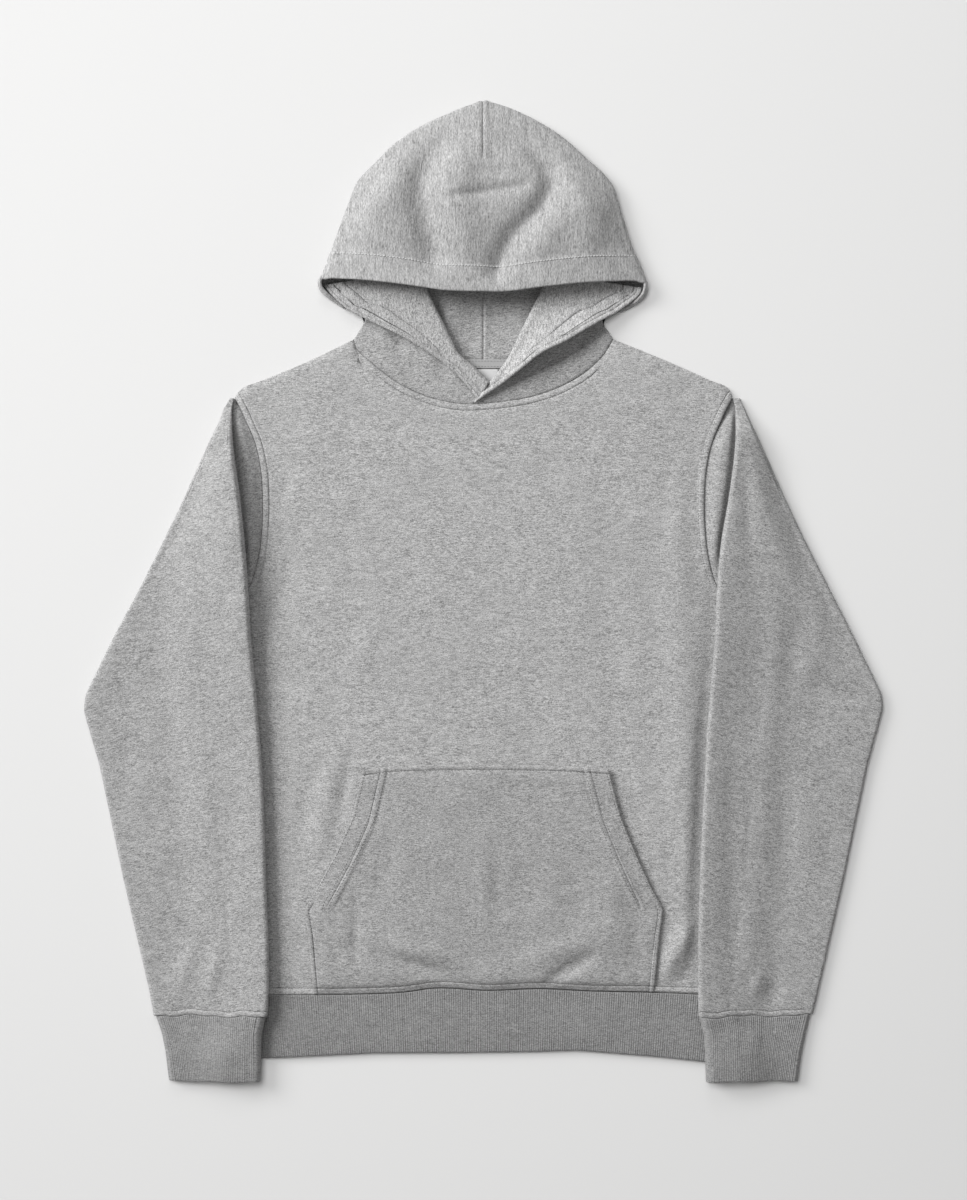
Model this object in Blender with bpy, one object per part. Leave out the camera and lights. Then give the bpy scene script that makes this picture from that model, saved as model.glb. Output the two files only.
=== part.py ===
"""Pullover hoodie laid flat, face up, with both sleeves brought down over the sides of the body.

Every piece is one curved wall of cloth. It is worked out as a grid of points down the middle of the
wall and thickened to both sides. Sizes are in millimetres until the mesh is made. X runs across the
garment, Y up to the hood, Z up from the surface that the back lies on. "Out" is the distance from the
centre line, so that one table serves both sides.
"""

import math

import bpy
import numpy as np

MM = 0.001

# Cloth
FLEECE = 2.8
RIB = 3.0
TAPE = 1.0
GAP = 0.3
SEAM_GAP = 0.45
RIB_RAISE = 0.4

# Heights of the middle of each layer above the surface
BACK_Z = FLEECE / 2
FRONT_Z = BACK_Z + FLEECE + GAP
RETURN_Z = 8.5
SLEEVE_EDGE_Z = 17.5
SLEEVE_FOLD_Z = 13.0
SLEEVE_TOP_Z = 9.6
PINCH = 0.3
PINCH_LENGTH = 42
CUFF_LOW_Z = RIB / 2
CUFF_STEP_Z = 8.7
CUFF_EDGE_Z = 16.5
CUFF_TOP_Z = 10.5
ROLL_LOW_Z = 6.7
ROLL_TOP_Z = 12.6

# Where the pieces meet
UNDERARM_Y = -47
HEM_SEAM_Y = -384
HEM_SEAM_OUT = 235.5
HEM_EDGE_OUT = 229
SLEEVE_TIP_Y = 184.5
SLEEVE_END_Y = -406
CUFF_END_Y = -469

# The seam that closes the body: round the armhole, then down the side. Columns: y, out
ARMHOLE = [(186, 238.5), (178, 234), (163, 227), (144, 219), (118, 213), (89, 211), (60, 211.5), (23, 217),
           (3, 224.5), (-22, 248), (UNDERARM_Y, 272)]
SIDE_SEAM = [(UNDERARM_Y, 272), (-130, 264), (-250, 251), (-392, 235)]

# Heights at which the body's edges and the sleeves have a section
ARMHOLE_ROWS = [SLEEVE_TIP_Y, 175, 163, 148, 130, 108, 84, 58, 30, 3, -22, UNDERARM_Y]
SIDE_ROWS = [UNDERARM_Y, -78, -99, -112, -130, -168, -212, -260, -305, -350, -382]
LAST_ROWS = [-396, SLEEVE_END_Y]

# How each sleeve lies. Columns: y, fold under it, inner edge left, outer edge left, inner edge right,
# outer edge right
SLEEVE_LAY = [
    (SLEEVE_TIP_Y, 240.5, 238.8, 243.3, 239, 246),
    (175, 246, 240.6, 249, 241, 250.5),
    (163, 249.5, 240.3, 252.8, 240.8, 255.5),
    (144, 252.5, 239, 262, 240.2, 264.2),
    (89, 258, 231.8, 286.6, 233.8, 288.7),
    (50, 262.5, 227.7, 305.5, 227, 307),
    (3, 268, 224, 328.9, 222.5, 331),
    (UNDERARM_Y, 275.5, 221.2, 355.8, 220.5, 356.3),
    (-99, 271, 216.5, 381, 216, 381.5),
    (-112, 270, 215.5, 383, 215.3, 383),
    (-118, 269, 215, 382.1, 214.5, 381.2),
    (-166, 264, 211.3, 368.1, 211.5, 368.1),
    (-275, 252, 207.3, 345.2, 206.3, 345.4),
    (-383, 240, 204.8, 320.1, 204.5, 320.8),
    (SLEEVE_END_Y, 238, 206, 316, 205, 315.5),
]

# Cuffs. Columns: y, inner edge left, outer edge left, inner edge right, outer edge right
CUFF_LAY = [
    (SLEEVE_END_Y - GAP, 208, 313.5, 205.5, 313),
    (-424, 211.8, 307.8, 210.5, 308.6),
    (-440, 212.4, 304.7, 211.5, 305),
    (CUFF_END_Y, 213, 301, 212.5, 300.8),
]

# Shoulder lines and neck seams, from -X to +X. Columns: x, y
SHOULDER_LEFT = [(-238.5, 186), (-233, 192.5), (-210, 202.5), (-177, 216), (-124.3, 241)]
SHOULDER_RIGHT = [(124.3, 241), (169.5, 222.7), (215, 202.6), (236, 192), (238.5, 186)]
NECK_LEFT = [(-124.3, 241), (-121.5, 232), (-116, 226), (-100.3, 212.2), (-80.2, 197.8), (-49.4, 184.3),
             (-22, 179), (-10, 178.6)]
NECK_RIGHT = [(-10, 178.6), (13.9, 180.5), (44.6, 185.3), (83, 199.7), (104, 214), (116, 227), (124.3, 241)]
BACK_NECK = [(-124.3, 241), (-100, 229), (-60, 219), (0, 215.5), (60, 219), (100, 229), (124.3, 241)]

# Hem: the seam of the rib, and the rib's lower edge. Columns: x, y
HEM_SEAM = [(-HEM_SEAM_OUT, -386), (-180, -386.5), (-120, -386), (-75, -384), (-50, -380.5), (5, -382.5),
            (55, -380.8), (100, -383), (165, -384.5), (HEM_SEAM_OUT, -388)]
HEM_EDGE = [(-HEM_EDGE_OUT, -448.5), (-190, -447), (-105, -442.8), (-20, -442.5), (50, -441.5), (90, -440.3),
            (165, -446.2), (HEM_EDGE_OUT, -453)]

# Pocket: its top edge, with columns x, y, and its sides, with columns y, left edge, right edge
POCKET_TOP = [(-115.5, -171.5), (-93, -168.3), (-55, -166.5), (0, -166), (75, -167.2), (119.3, -170)]
POCKET = [(-170, -115.5, 119.3), (-215, -126, 131), (-250.5, -142.4, 145.6), (-281.5, -159.5, 160),
          (-300, -170.5, 170.5), (-304, -171, 171.5), (-329, -167.2, 168), (-380.5, -162.5, 163)]

# Soft rises and hollows of the front. Columns: x, y, direction in degrees, length, width, rise
FRONT_FOLDS = [
    (0, 60, 0, 300, 170, 1.6),
    (-60, -90, 90, 260, 110, 1.3),
    (90, -60, 100, 260, 60, 1.6),
    (150, -110, 95, 210, 34, 1.2),
    (125, -110, 95, 190, 18, -0.9),
    (-60, -350, 0, 70, 26, -1.4),
    (70, -352, 160, 80, 22, -1.5),
    (-125, -315, 80, 90, 20, -1.0),
    (0, -260, 0, 220, 90, 1.7),
]

# Hood. Columns: x, y. The outline runs from under the left lapel round the left corner, over the crown
# and round the right corner, and the brim from the left corner to the right one.
HOOD_OUTLINE = [(-133.5, 271), (-142, 276.6), (-149.5, 282), (-154.5, 286.8), (-157.6, 293), (-157.2, 297.5),
                (-155, 301.5), (-151.6, 309), (-146.8, 323), (-142.8, 334.5), (-128.5, 373), (-122, 389.5),
                (-101.5, 412), (-89, 425), (-63.8, 442.8), (-37.8, 455.3), (-12.4, 465.5), (0.5, 469),
                (9.5, 467.2), (45.4, 453), (73.5, 436), (98.7, 414), (117, 397), (122.8, 389.5),
                (132.3, 361.5), (145.1, 323), (149.5, 313), (153.2, 303), (155.8, 295), (155.6, 288.5),
                (152.5, 281.5), (147, 276), (139.5, 271.5), (131, 266.8)]
HOOD_BRIM = [(-152, 298.6), (-146, 299.8), (-141, 300), (-129, 299.8), (-115, 299), (-90, 296.5), (-64, 293),
             (-38, 289.4), (-3, 288.5), (19.5, 288.2), (57, 292.5), (99.5, 296.7), (125, 297.8), (140, 298),
             (146, 297.4), (151, 295.4)]
HOOD_BACK_SIDE = [(-124.3, 241), (-112, 258), (-120, 268)]
CORNER_SHARE = 0.07
EDGE_INSET = 1.8

# How the hood's edge stands, by the share of the outline from its nearer end. Columns: share, height of
# the roll, how far round it goes in degrees, height of the brim
HOOD_RISE = [(0, 5, 70, 3.6), (0.05, 11.5, 92, 10.4), (0.08, 13, 120, 12), (0.115, 14, 168, 15),
             (0.17, 15, 180, 20), (0.28, 14.5, 180, 26), (0.5, 13, 180, 27)]
CROWN_DOME = 9

# Hollows of the crown. Columns: x, y, direction in degrees, length, width, rise
CROWN_FOLDS = [
    (-82, 410, 55, 90, 30, -4.5),
    (-60, 365, 100, 70, 22, -2.5),
    (-2, 379, 5, 55, 13, -3.5),
    (45, 385, 110, 70, 34, -4),
    (15, 335, 60, 80, 24, -2.5),
    (-30, 350, 95, 90, 26, 2.5),
    (70, 350, 70, 90, 40, 2.5),
]

# Sides of the hood, by even stations along the front neck seam from the centre front to the shoulder.
# Columns: roll x, roll y, edge x, edge y, edge z
ROLL_LEFT = [(-0.5, 199.5, -12.5, 181.3, 9), (-9, 214.5, -21.6, 203.5, 9.5), (-23.5, 227.5, -37, 217.5, 10.5),
             (-31, 242, -57.5, 231.5, 11.5), (-38, 256.5, -80.5, 245, 12), (-43.7, 268, -107, 257.5, 11.5),
             (-50.5, 282, -131, 270, 9.5)]
ROLL_RIGHT = [(1.5, 194, -4.5, 185.5, 12), (10.5, 205.5, 15, 197, 14), (22.6, 222, 37, 215, 18.5),
              (29.3, 235.2, 55.5, 228, 21), (36, 249.5, 79, 239, 20), (42.7, 263, 104, 253.5, 16),
              (49.5, 276.5, 127.5, 266.5, 10.5)]
# The last stations, on the side of the hood's own neck. Columns: neck x, neck y, then as above
UNDER_CROWN_LEFT = [(-112, 258, -57, 296.5, -146.6, 285, 8.2), (-121, 268, -63, 310, -152.8, 292.8, 8)]
UNDER_CROWN_RIGHT = [(112, 258, 57, 292, 147.2, 281.4, 8), (121, 268, 63, 306, 151.4, 290, 7.8)]

# How finely the pieces are divided
SHOULDER_COLUMNS = 7
NECK_COLUMNS_LEFT = 9
NECK_COLUMNS_RIGHT = 10
HOOD_CORNER_COLUMNS = 7
HOOD_TOP_COLUMNS = 24
UNDER_CROWN_ROWS = 5
HEM_RIBS = 190
CUFF_RIBS = 40


def spline(knots, values, at):
    """A smooth curve through the values at the knots, read at other places."""
    knots = np.asarray(knots, float)
    values = np.asarray(values, float)
    at = np.asarray(at, float)
    if knots[0] > knots[-1]:
        knots, values = knots[::-1], values[::-1]
    steps = np.diff(knots)
    slopes = np.diff(values) / steps
    middle = (slopes[:-1] * steps[1:] + slopes[1:] * steps[:-1]) / (steps[:-1] + steps[1:])
    tangents = np.concatenate([slopes[:1], middle, slopes[-1:]])
    i = np.clip(np.searchsorted(knots, at) - 1, 0, len(steps) - 1)
    t = (at - knots[i]) / steps[i]
    return (values[i] * (1 + 2 * t) * (1 - t) ** 2 + values[i + 1] * t * t * (3 - 2 * t)
            + steps[i] * (tangents[i] * t * (1 - t) ** 2 - tangents[i + 1] * t * t * (1 - t)))


def column(table, number):
    return [row[number] for row in table]


def trace(points, places, smooth=True):
    """The points of a path at places from 0 to 1 along it, or at that many even places."""
    points = np.asarray(points, float)
    lengths = np.linalg.norm(np.diff(points, axis=0), axis=1)
    along = np.concatenate([[0], np.cumsum(lengths)])
    at = np.linspace(0, 1, places) if np.ndim(places) == 0 else np.asarray(places)
    read = spline if smooth else (lambda knots, values, where: np.interp(where, knots, values))
    return np.stack([read(along, axis, at * along[-1]) for axis in points.T], axis=1)


def beside(points, places, offset, step=0.002):
    """Points at places along a path, moved square to it: to its right for a positive offset."""
    ahead = trace(points, np.clip(places + step, 0, 1)) - trace(points, np.clip(places - step, 0, 1))
    square = np.stack([ahead[:, 1], -ahead[:, 0]], axis=1)
    square /= np.linalg.norm(square, axis=1, keepdims=True)
    return trace(points, places) + square * np.reshape(offset, (-1, 1))


def smooth_step(t):
    t = np.clip(t, 0, 1)
    return t * t * (3 - 2 * t)


def arc(centre, radius, start, end, count):
    """Points (out, z) round part of a circle. Angles in degrees, 0 pointing out and 90 up."""
    angles = np.radians(np.linspace(start, end, count))
    return [(centre[0] + radius * math.cos(a), centre[1] + radius * math.sin(a)) for a in angles]


def folds(table, x, y):
    """How far the listed rises and hollows lift the cloth at a place."""
    lift = np.zeros_like(x)
    for centre_x, centre_y, direction, length, width, rise in table:
        angle = math.radians(direction)
        along = (x - centre_x) * math.cos(angle) + (y - centre_y) * math.sin(angle)
        across = (y - centre_y) * math.cos(angle) - (x - centre_x) * math.sin(angle)
        lift += rise * np.exp(-2 * (along / length) ** 2 - 2 * (across / width) ** 2)
    return lift


def coons(bottom, top, left, right, u=None):
    """Fills the area between four edges. Returns a grid of points, one row for each point of the sides."""
    u = np.linspace(0, 1, len(bottom)) if u is None else u
    u = u[None, :, None]
    v = np.linspace(0, 1, len(left))[:, None, None]
    between_rows = (1 - v) * bottom[None] + v * top[None]
    between_sides = (1 - u) * left[:, None] + u * right[:, None]
    corners = ((1 - u) * (1 - v) * bottom[0] + u * (1 - v) * bottom[-1]
               + (1 - u) * v * top[0] + u * v * top[-1])
    return between_rows + between_sides - corners


def normals(grid, closed):
    """The direction square to the cloth at each point of a grid."""
    down = np.gradient(grid, axis=0)
    if closed:
        across = np.roll(grid, -1, axis=1) - np.roll(grid, 1, axis=1)
    else:
        across = np.gradient(grid, axis=1)
    square = np.cross(down, across)
    return square / np.linalg.norm(square, axis=2, keepdims=True)


def fabric(name, grey, roughness):
    """A cloth material of one even grey, given as a display value from 0 to 1."""
    linear = ((grey + 0.055) / 1.055) ** 2.4
    material = bpy.data.materials.new(name)
    material.use_nodes = True
    shader = material.node_tree.nodes["Principled BSDF"]
    shader.inputs["Base Color"].default_value = (linear, linear, linear, 1)
    shader.inputs["Roughness"].default_value = roughness
    shader.inputs["Metallic"].default_value = 0
    return material


def wall(name, grid, thickness, material, closed=False, square_ends=False, raise_outer=0.0):
    """One closed solid: a wall of cloth with the grid down its middle. A closed grid is a tube.

    The thickness may differ from row to row. With square_ends the first and last rows end in a plane
    across Y, where another piece meets them.
    """
    rows, columns = grid.shape[:2]
    square = normals(grid, closed)
    if square_ends:
        for row in (0, -1):
            square[row, :, 1] = 0
            square[row] /= np.linalg.norm(square[row], axis=1, keepdims=True)
    half = np.broadcast_to(np.reshape(thickness, (-1, 1, 1)), (rows, 1, 1)) / 2
    outer = grid + square * (half + np.asarray(raise_outer)[..., None])
    inner = grid - square * half
    points = np.concatenate([outer.reshape(-1, 3), inner.reshape(-1, 3)])
    layer = rows * columns

    def at(row, col, side):
        return side * layer + row * columns + col % columns

    faces = []
    for row in range(rows - 1):
        for col in range(columns if closed else columns - 1):
            faces.append([at(row, col, 0), at(row + 1, col, 0), at(row + 1, col + 1, 0), at(row, col + 1, 0)])
            faces.append([at(row, col, 1), at(row, col + 1, 1), at(row + 1, col + 1, 1), at(row + 1, col, 1)])
    for col in range(columns if closed else columns - 1):
        last = rows - 1
        faces.append([at(0, col, 0), at(0, col + 1, 0), at(0, col + 1, 1), at(0, col, 1)])
        faces.append([at(last, col, 0), at(last, col, 1), at(last, col + 1, 1), at(last, col + 1, 0)])
    if not closed:
        for row in range(rows - 1):
            last = columns - 1
            faces.append([at(row, 0, 0), at(row, 0, 1), at(row + 1, 0, 1), at(row + 1, 0, 0)])
            faces.append([at(row, last, 0), at(row + 1, last, 0), at(row + 1, last, 1), at(row, last, 1)])

    mesh = bpy.data.meshes.new(name)
    mesh.from_pydata((points * MM).tolist(), [], faces)
    mesh.materials.append(material)
    if signed_volume(points, faces) < 0:
        mesh.flip_normals()
    mesh.shade_smooth()
    mesh.set_sharp_from_angle(angle=math.radians(50))
    piece = bpy.data.objects.new(name, mesh)
    bpy.context.scene.collection.objects.link(piece)
    return piece


def signed_volume(points, faces):
    quads = points[np.array(faces)]
    first = np.einsum("ij,ij->i", quads[:, 0], np.cross(quads[:, 1], quads[:, 2]))
    second = np.einsum("ij,ij->i", quads[:, 0], np.cross(quads[:, 2], quads[:, 3]))
    return (first + second).sum()


def body_edge(y):
    """How far out the armhole or the side seam lies at a height."""
    armhole = spline(column(ARMHOLE, 0), column(ARMHOLE, 1), y)
    side = spline(column(SIDE_SEAM, 0), column(SIDE_SEAM, 1), y)
    return np.where(np.asarray(y) > UNDERARM_Y, armhole, side)


def front_lift(x, y):
    """The front's soft rises and hollows, which die away at its seams and under the sleeves."""
    from_sleeve = smooth_step((205 - np.abs(x)) / 50)
    neck = NECK_LEFT + NECK_RIGHT[1:]
    neck_y = np.interp(x, column(neck, 0), column(neck, 1))
    from_neck = smooth_step((neck_y - y) / 60)
    from_hem = smooth_step((y - HEM_SEAM_Y) / 25)
    return np.clip(folds(FRONT_FOLDS, x, y), 0, 3.6) * from_sleeve * from_neck * from_hem


def front_height(x, y):
    return FRONT_Z + front_lift(x, y)


def front_neck():
    """The front neck seam in two stretches, from the left shoulder to the centre and on to the right."""
    return trace(NECK_LEFT, NECK_COLUMNS_LEFT), trace(NECK_RIGHT, NECK_COLUMNS_RIGHT)


def back_neck():
    return trace(BACK_NECK, NECK_COLUMNS_LEFT + NECK_COLUMNS_RIGHT - 1)


def hem_seam():
    """The seam of the hem rib, at the columns of the body panels."""
    count = 2 * SHOULDER_COLUMNS + NECK_COLUMNS_LEFT + NECK_COLUMNS_RIGHT - 3
    x = np.linspace(-HEM_SEAM_OUT, HEM_SEAM_OUT, count)
    return np.stack([x, spline(column(HEM_SEAM, 0), column(HEM_SEAM, 1), x)], axis=1)


def body_panel(neck, height):
    """The front or the back, from the hem up to its neck and shoulders."""
    top = np.concatenate([
        trace(SHOULDER_LEFT, SHOULDER_COLUMNS, smooth=False)[:-1],
        neck[:-1],
        trace(SHOULDER_RIGHT, SHOULDER_COLUMNS, smooth=False),
    ])
    bottom = hem_seam()
    heights = np.array(SIDE_ROWS[::-1] + ARMHOLE_ROWS[::-1][1:], float)
    out = body_edge(heights)
    left = np.stack([-out, heights], axis=1)
    right = np.stack([out, heights], axis=1)
    left[0], right[0] = bottom[0], bottom[-1]
    left[-1], right[-1] = top[0], top[-1]
    plan = coons(bottom, top, left, right)
    x, y = plan[..., 0], plan[..., 1]
    return np.stack([x, y, height(x, y)], axis=2)


def pinch(y):
    """How much of its full thickness a sleeve has at a height: its folds are pinched thin at the tip."""
    return PINCH + (1 - PINCH) * smooth_step((SLEEVE_TIP_Y - y) / PINCH_LENGTH)


def sleeve_section(edge, fold, inner, outer, thick):
    """One section across a sleeve, from the seam on the body round to the seam on the back.

    The cloth runs out from the armhole or side seam, turns back at the hidden fold, rolls over at the
    inner edge, runs across the top, rolls over at the outer edge and comes back along the surface.
    """
    half = FLEECE / 2 * thick
    start = edge + GAP
    low_z, strip_z, return_z = BACK_Z * thick, FRONT_Z * thick, RETURN_Z * thick
    under_radius = (return_z - strip_z) / 2
    inner_radius = (SLEEVE_EDGE_Z * thick - return_z) / 2
    outer_z = thick * (SLEEVE_FOLD_Z + (SLEEVE_TOP_Z - SLEEVE_FOLD_Z) * smooth_step((outer - fold) / 55))
    outer_radius = (outer_z - low_z) / 2
    turn = max(fold - under_radius - half, start + 0.6)
    inner_turn = inner + inner_radius + half
    outer_turn = outer - outer_radius - half
    section = [(start, strip_z), ((start + turn) / 2, strip_z)]
    section += arc((turn, strip_z + under_radius), under_radius, -90, 90, 5)
    section += [((turn + inner_turn) / 2, return_z)]
    section += arc((inner_turn, return_z + inner_radius), inner_radius, 270, 90, 6)
    for share in (0.15, 0.3, 0.45, 0.6, 0.75, 0.9):
        out = inner_turn + (outer_turn - inner_turn) * share
        over_fold = SLEEVE_EDGE_Z + (SLEEVE_FOLD_Z - SLEEVE_EDGE_Z) * smooth_step((out - inner) / 50)
        z = thick * over_fold + (outer_z - thick * SLEEVE_FOLD_Z) * smooth_step((out - fold) / 40)
        section.append((out, z))
    section += arc((outer_turn, low_z + outer_radius), outer_radius, 90, -90, 7)
    section += [((outer_turn + start) / 2, low_z), (start, low_z)]
    return section


def sleeve(side, inner_column, outer_column):
    """Side is -1 or 1. The last two name the columns of SLEEVE_LAY with its edges."""
    heights = ARMHOLE_ROWS + SIDE_ROWS[1:] + LAST_ROWS
    keys = column(SLEEVE_LAY, 0)
    down = [-key for key in keys]
    rows = []
    for y in heights:
        fold = float(spline(keys, column(SLEEVE_LAY, 1), y))
        inner = float(spline(keys, column(SLEEVE_LAY, inner_column), y))
        outer = float(np.interp(-y, down, column(SLEEVE_LAY, outer_column)))
        section = sleeve_section(float(body_edge(y)), fold, inner, outer, float(pinch(y)))
        rows.append([(side * out, y, z) for out, z in section])
    return np.array(rows)


def cuff(side, inner_column, outer_column):
    """A closed tube. Its lower layer steps up over the corner of the hem rib.

    The left one's rows run upwards, so that the outside of both tubes is the wall's outer side.
    """
    keys = [-key for key in column(CUFF_LAY, 0)]
    inner_radius = (CUFF_EDGE_Z - CUFF_STEP_Z) / 2
    outer_radius = (CUFF_TOP_Z - CUFF_LOW_Z) / 2
    step = HEM_SEAM_OUT + 4
    rows = []
    for y in column(CUFF_LAY, 0):
        inner = float(np.interp(-y, keys, column(CUFF_LAY, inner_column)))
        outer = float(np.interp(-y, keys, column(CUFF_LAY, outer_column)))
        inner_turn = inner + inner_radius + RIB / 2
        outer_turn = outer - outer_radius - RIB / 2
        top_out = np.linspace(inner_turn, outer_turn, 2 * CUFF_RIBS + 1)
        drop = smooth_step((top_out - step) / 45)
        section = list(zip(top_out, CUFF_EDGE_Z + (CUFF_TOP_Z - CUFF_EDGE_Z) * drop))
        section += arc((outer_turn, CUFF_LOW_Z + outer_radius), outer_radius, 90, -90, 7)[1:]
        section += [(step + 14, CUFF_LOW_Z), (step + 7, (CUFF_LOW_Z + CUFF_STEP_Z) / 2), (step, CUFF_STEP_Z)]
        section += arc((inner_turn, CUFF_STEP_Z + inner_radius), inner_radius, 270, 90, 6)[:-1]
        rows.append([(side * out, y, z) for out, z in section])
    return np.array(rows[::side])


def hem_rib():
    """A closed band, folded at both sides. Its upper layer comes first in each section."""
    seam = hem_seam()
    low_z = RIB / 2
    high_z = low_z + RIB + GAP
    radius = (high_z - low_z) / 2
    rows = []
    for share, half in ((0, HEM_SEAM_OUT - RIB / 2), (1, HEM_EDGE_OUT - RIB / 2)):
        turn = half - radius
        section = [(x, high_z) for x in np.linspace(-turn, turn, 2 * HEM_RIBS + 1)]
        section += arc((turn, low_z + radius), radius, 90, -90, 6)[1:]
        section += [(x, low_z) for x in seam[-2:0:-1, 0]]
        section += arc((-turn, low_z + radius), radius, 270, 90, 6)[:-1]
        section = np.array(section)
        seam_y = np.interp(section[:, 0], seam[:, 0], seam[:, 1]) - GAP
        edge_y = np.interp(section[:, 0], column(HEM_EDGE, 0), column(HEM_EDGE, 1))
        y = seam_y + (edge_y - seam_y) * share
        rows.append(np.stack([section[:, 0], y, section[:, 1]], axis=1))
    return np.array(rows)


def ribs(grid, count):
    """How far each point of a rib tube stands out: ribs and channels in turn over its upper layer."""
    raised = np.zeros(grid.shape[:2])
    raised[:, 1:2 * count:2] = RIB_RAISE
    return raised


def pocket():
    heights = -np.linspace(-POCKET[0][0], -POCKET[-1][0], 13)
    keys = column(POCKET, 0)
    left = np.interp(-heights, [-key for key in keys], column(POCKET, 1))
    right = np.interp(-heights, [-key for key in keys], column(POCKET, 2))
    x = left[:, None] + (right - left)[:, None] * np.linspace(0, 1, 15)
    seam = hem_seam()
    bottom = np.interp(x, seam[:, 0], seam[:, 1]) + 2 * GAP
    top = np.interp(x[0], column(POCKET_TOP, 0), column(POCKET_TOP, 1))
    down = (heights - heights[0]) / (heights[-1] - heights[0])
    y = top + (bottom - top) * down[:, None]
    return np.stack([x, y, front_height(x, y) + FLEECE + 2 * GAP], axis=2)


def hood_crown():
    """The back of the hood, the roll round its outline and the crown folded forward over it.

    At the corners the cloth stands up and ends along the outline, and past them it dies away under the
    lapels.
    """
    corner = np.linspace(0, CORNER_SHARE + 0.05, HOOD_CORNER_COLUMNS)
    top = np.linspace(corner[-1], 1 - corner[-1], HOOD_TOP_COLUMNS)
    share = np.concatenate([corner, top[1:-1], 1 - corner[::-1]])
    nearer = np.minimum(share, 1 - share)
    shares = column(HOOD_RISE, 0)
    edge_z, turned, brim_z = (spline(shares, column(HOOD_RISE, number), nearer) for number in (1, 2, 3))
    from_corner = smooth_step((nearer - 0.06) / 0.22)
    radius = (edge_z - BACK_Z) / 2
    turn = beside(HOOD_OUTLINE, share, radius + FLEECE / 2)

    standing = beside(HOOD_OUTLINE, share, EDGE_INSET)
    ends = beside(HOOD_OUTLINE, np.array([CORNER_SHARE, 1 - CORNER_SHARE]), EDGE_INSET)
    along = np.clip((share - CORNER_SHARE) / (1 - 2 * CORNER_SHARE), 0, 1)
    brim = trace(np.vstack([ends[:1], HOOD_BRIM, ends[1:]]), along)
    brim = np.where((nearer < CORNER_SHARE)[:, None], standing, brim)
    brim = np.column_stack([brim, brim_z])

    neck = trace(back_neck(), share, smooth=False)
    neck[:, 1] += GAP
    side_left = trace(np.vstack([HOOD_BACK_SIDE, turn[:1]]), 7)
    side_left[:-1, 1] += GAP
    side_right = trace(np.vstack([np.array(HOOD_BACK_SIDE) * (-1, 1), turn[-1:]]), 7)
    side_right[:-1, 1] += GAP
    back = coons(neck, turn, side_left, side_right, share)
    rows = [np.column_stack([row, np.full(len(share), BACK_Z)]) for row in back]
    outward = (trace(HOOD_OUTLINE, share) - turn) / (radius + FLEECE / 2)[:, None]
    for part in np.linspace(0, 1, 7)[1:]:
        angle = np.radians(turned * part)
        plan = turn + outward * (radius * np.sin(angle))[:, None]
        rows.append(np.column_stack([plan, BACK_Z + radius * (1 - np.cos(angle))]))
    rolled = rows[-1]
    for t in np.linspace(0, 1, 9)[1:]:
        row = rolled + (brim - rolled) * t
        dome = CROWN_DOME * math.sin(math.pi * t) * from_corner
        hollow = folds(CROWN_FOLDS, row[:, 0], row[:, 1]) * smooth_step(t * 3) * from_corner
        row[:, 2] += dome + hollow
        rows.append(row)
    return np.array(rows)


def stations_between(stations, count):
    """More stations between those listed, evenly spaced by number."""
    stations = np.array(stations, float)
    at = np.linspace(0, len(stations) - 1, count)
    return np.stack([spline(range(len(stations)), each, at) for each in stations.T], axis=1)


def hood_side(neck, rolls, under_crown):
    """A side of the hood: up from the neck seam, over at the roll, and out again to its hemmed edge."""
    on_seam = np.hstack([neck, stations_between(rolls, len(neck))])
    beyond = stations_between(np.vstack([on_seam[-1:], under_crown]), UNDER_CROWN_ROWS)
    radius = (ROLL_TOP_Z - ROLL_LOW_Z) / 2
    rows = []
    for neck_x, neck_y, roll_x, roll_y, edge_x, edge_y, edge_z in np.vstack([on_seam, beyond[1:]]):
        start = np.array([neck_x, neck_y])
        roll = np.array([roll_x, roll_y])
        edge = np.array([edge_x, edge_y])
        up = (roll - start) / np.linalg.norm(roll - start)
        back = (edge - roll) / np.linalg.norm(edge - roll)
        forward = (up - back) / np.linalg.norm(up - back)
        turn = roll - forward * (radius + FLEECE / 2)
        start = start + up * SEAM_GAP
        row = []
        for t in (0, 0.25, 0.5, 0.75):
            row.append((*(start + (turn - start) * t), FRONT_Z + (ROLL_LOW_Z - FRONT_Z) * smooth_step(t)))
        for angle in np.radians([0, 36, 72, 108, 144, 180]):
            plan = turn + forward * radius * math.sin(angle)
            row.append((*plan, ROLL_LOW_Z + radius * (1 - math.cos(angle))))
        for t in (0.25, 0.5, 0.75, 1):
            plan = turn + (edge - turn) * t
            row.append((*plan, ROLL_TOP_Z + (edge_z - ROLL_TOP_Z) * smooth_step(t)))
        rows.append(row)
    return np.array(rows)


def strip(x_edges, y_edges, z, columns):
    """A small flat piece between two heights."""
    x = np.linspace(*x_edges, columns)
    return np.array([[(place, y, z) for place in x] for y in y_edges])


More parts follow.
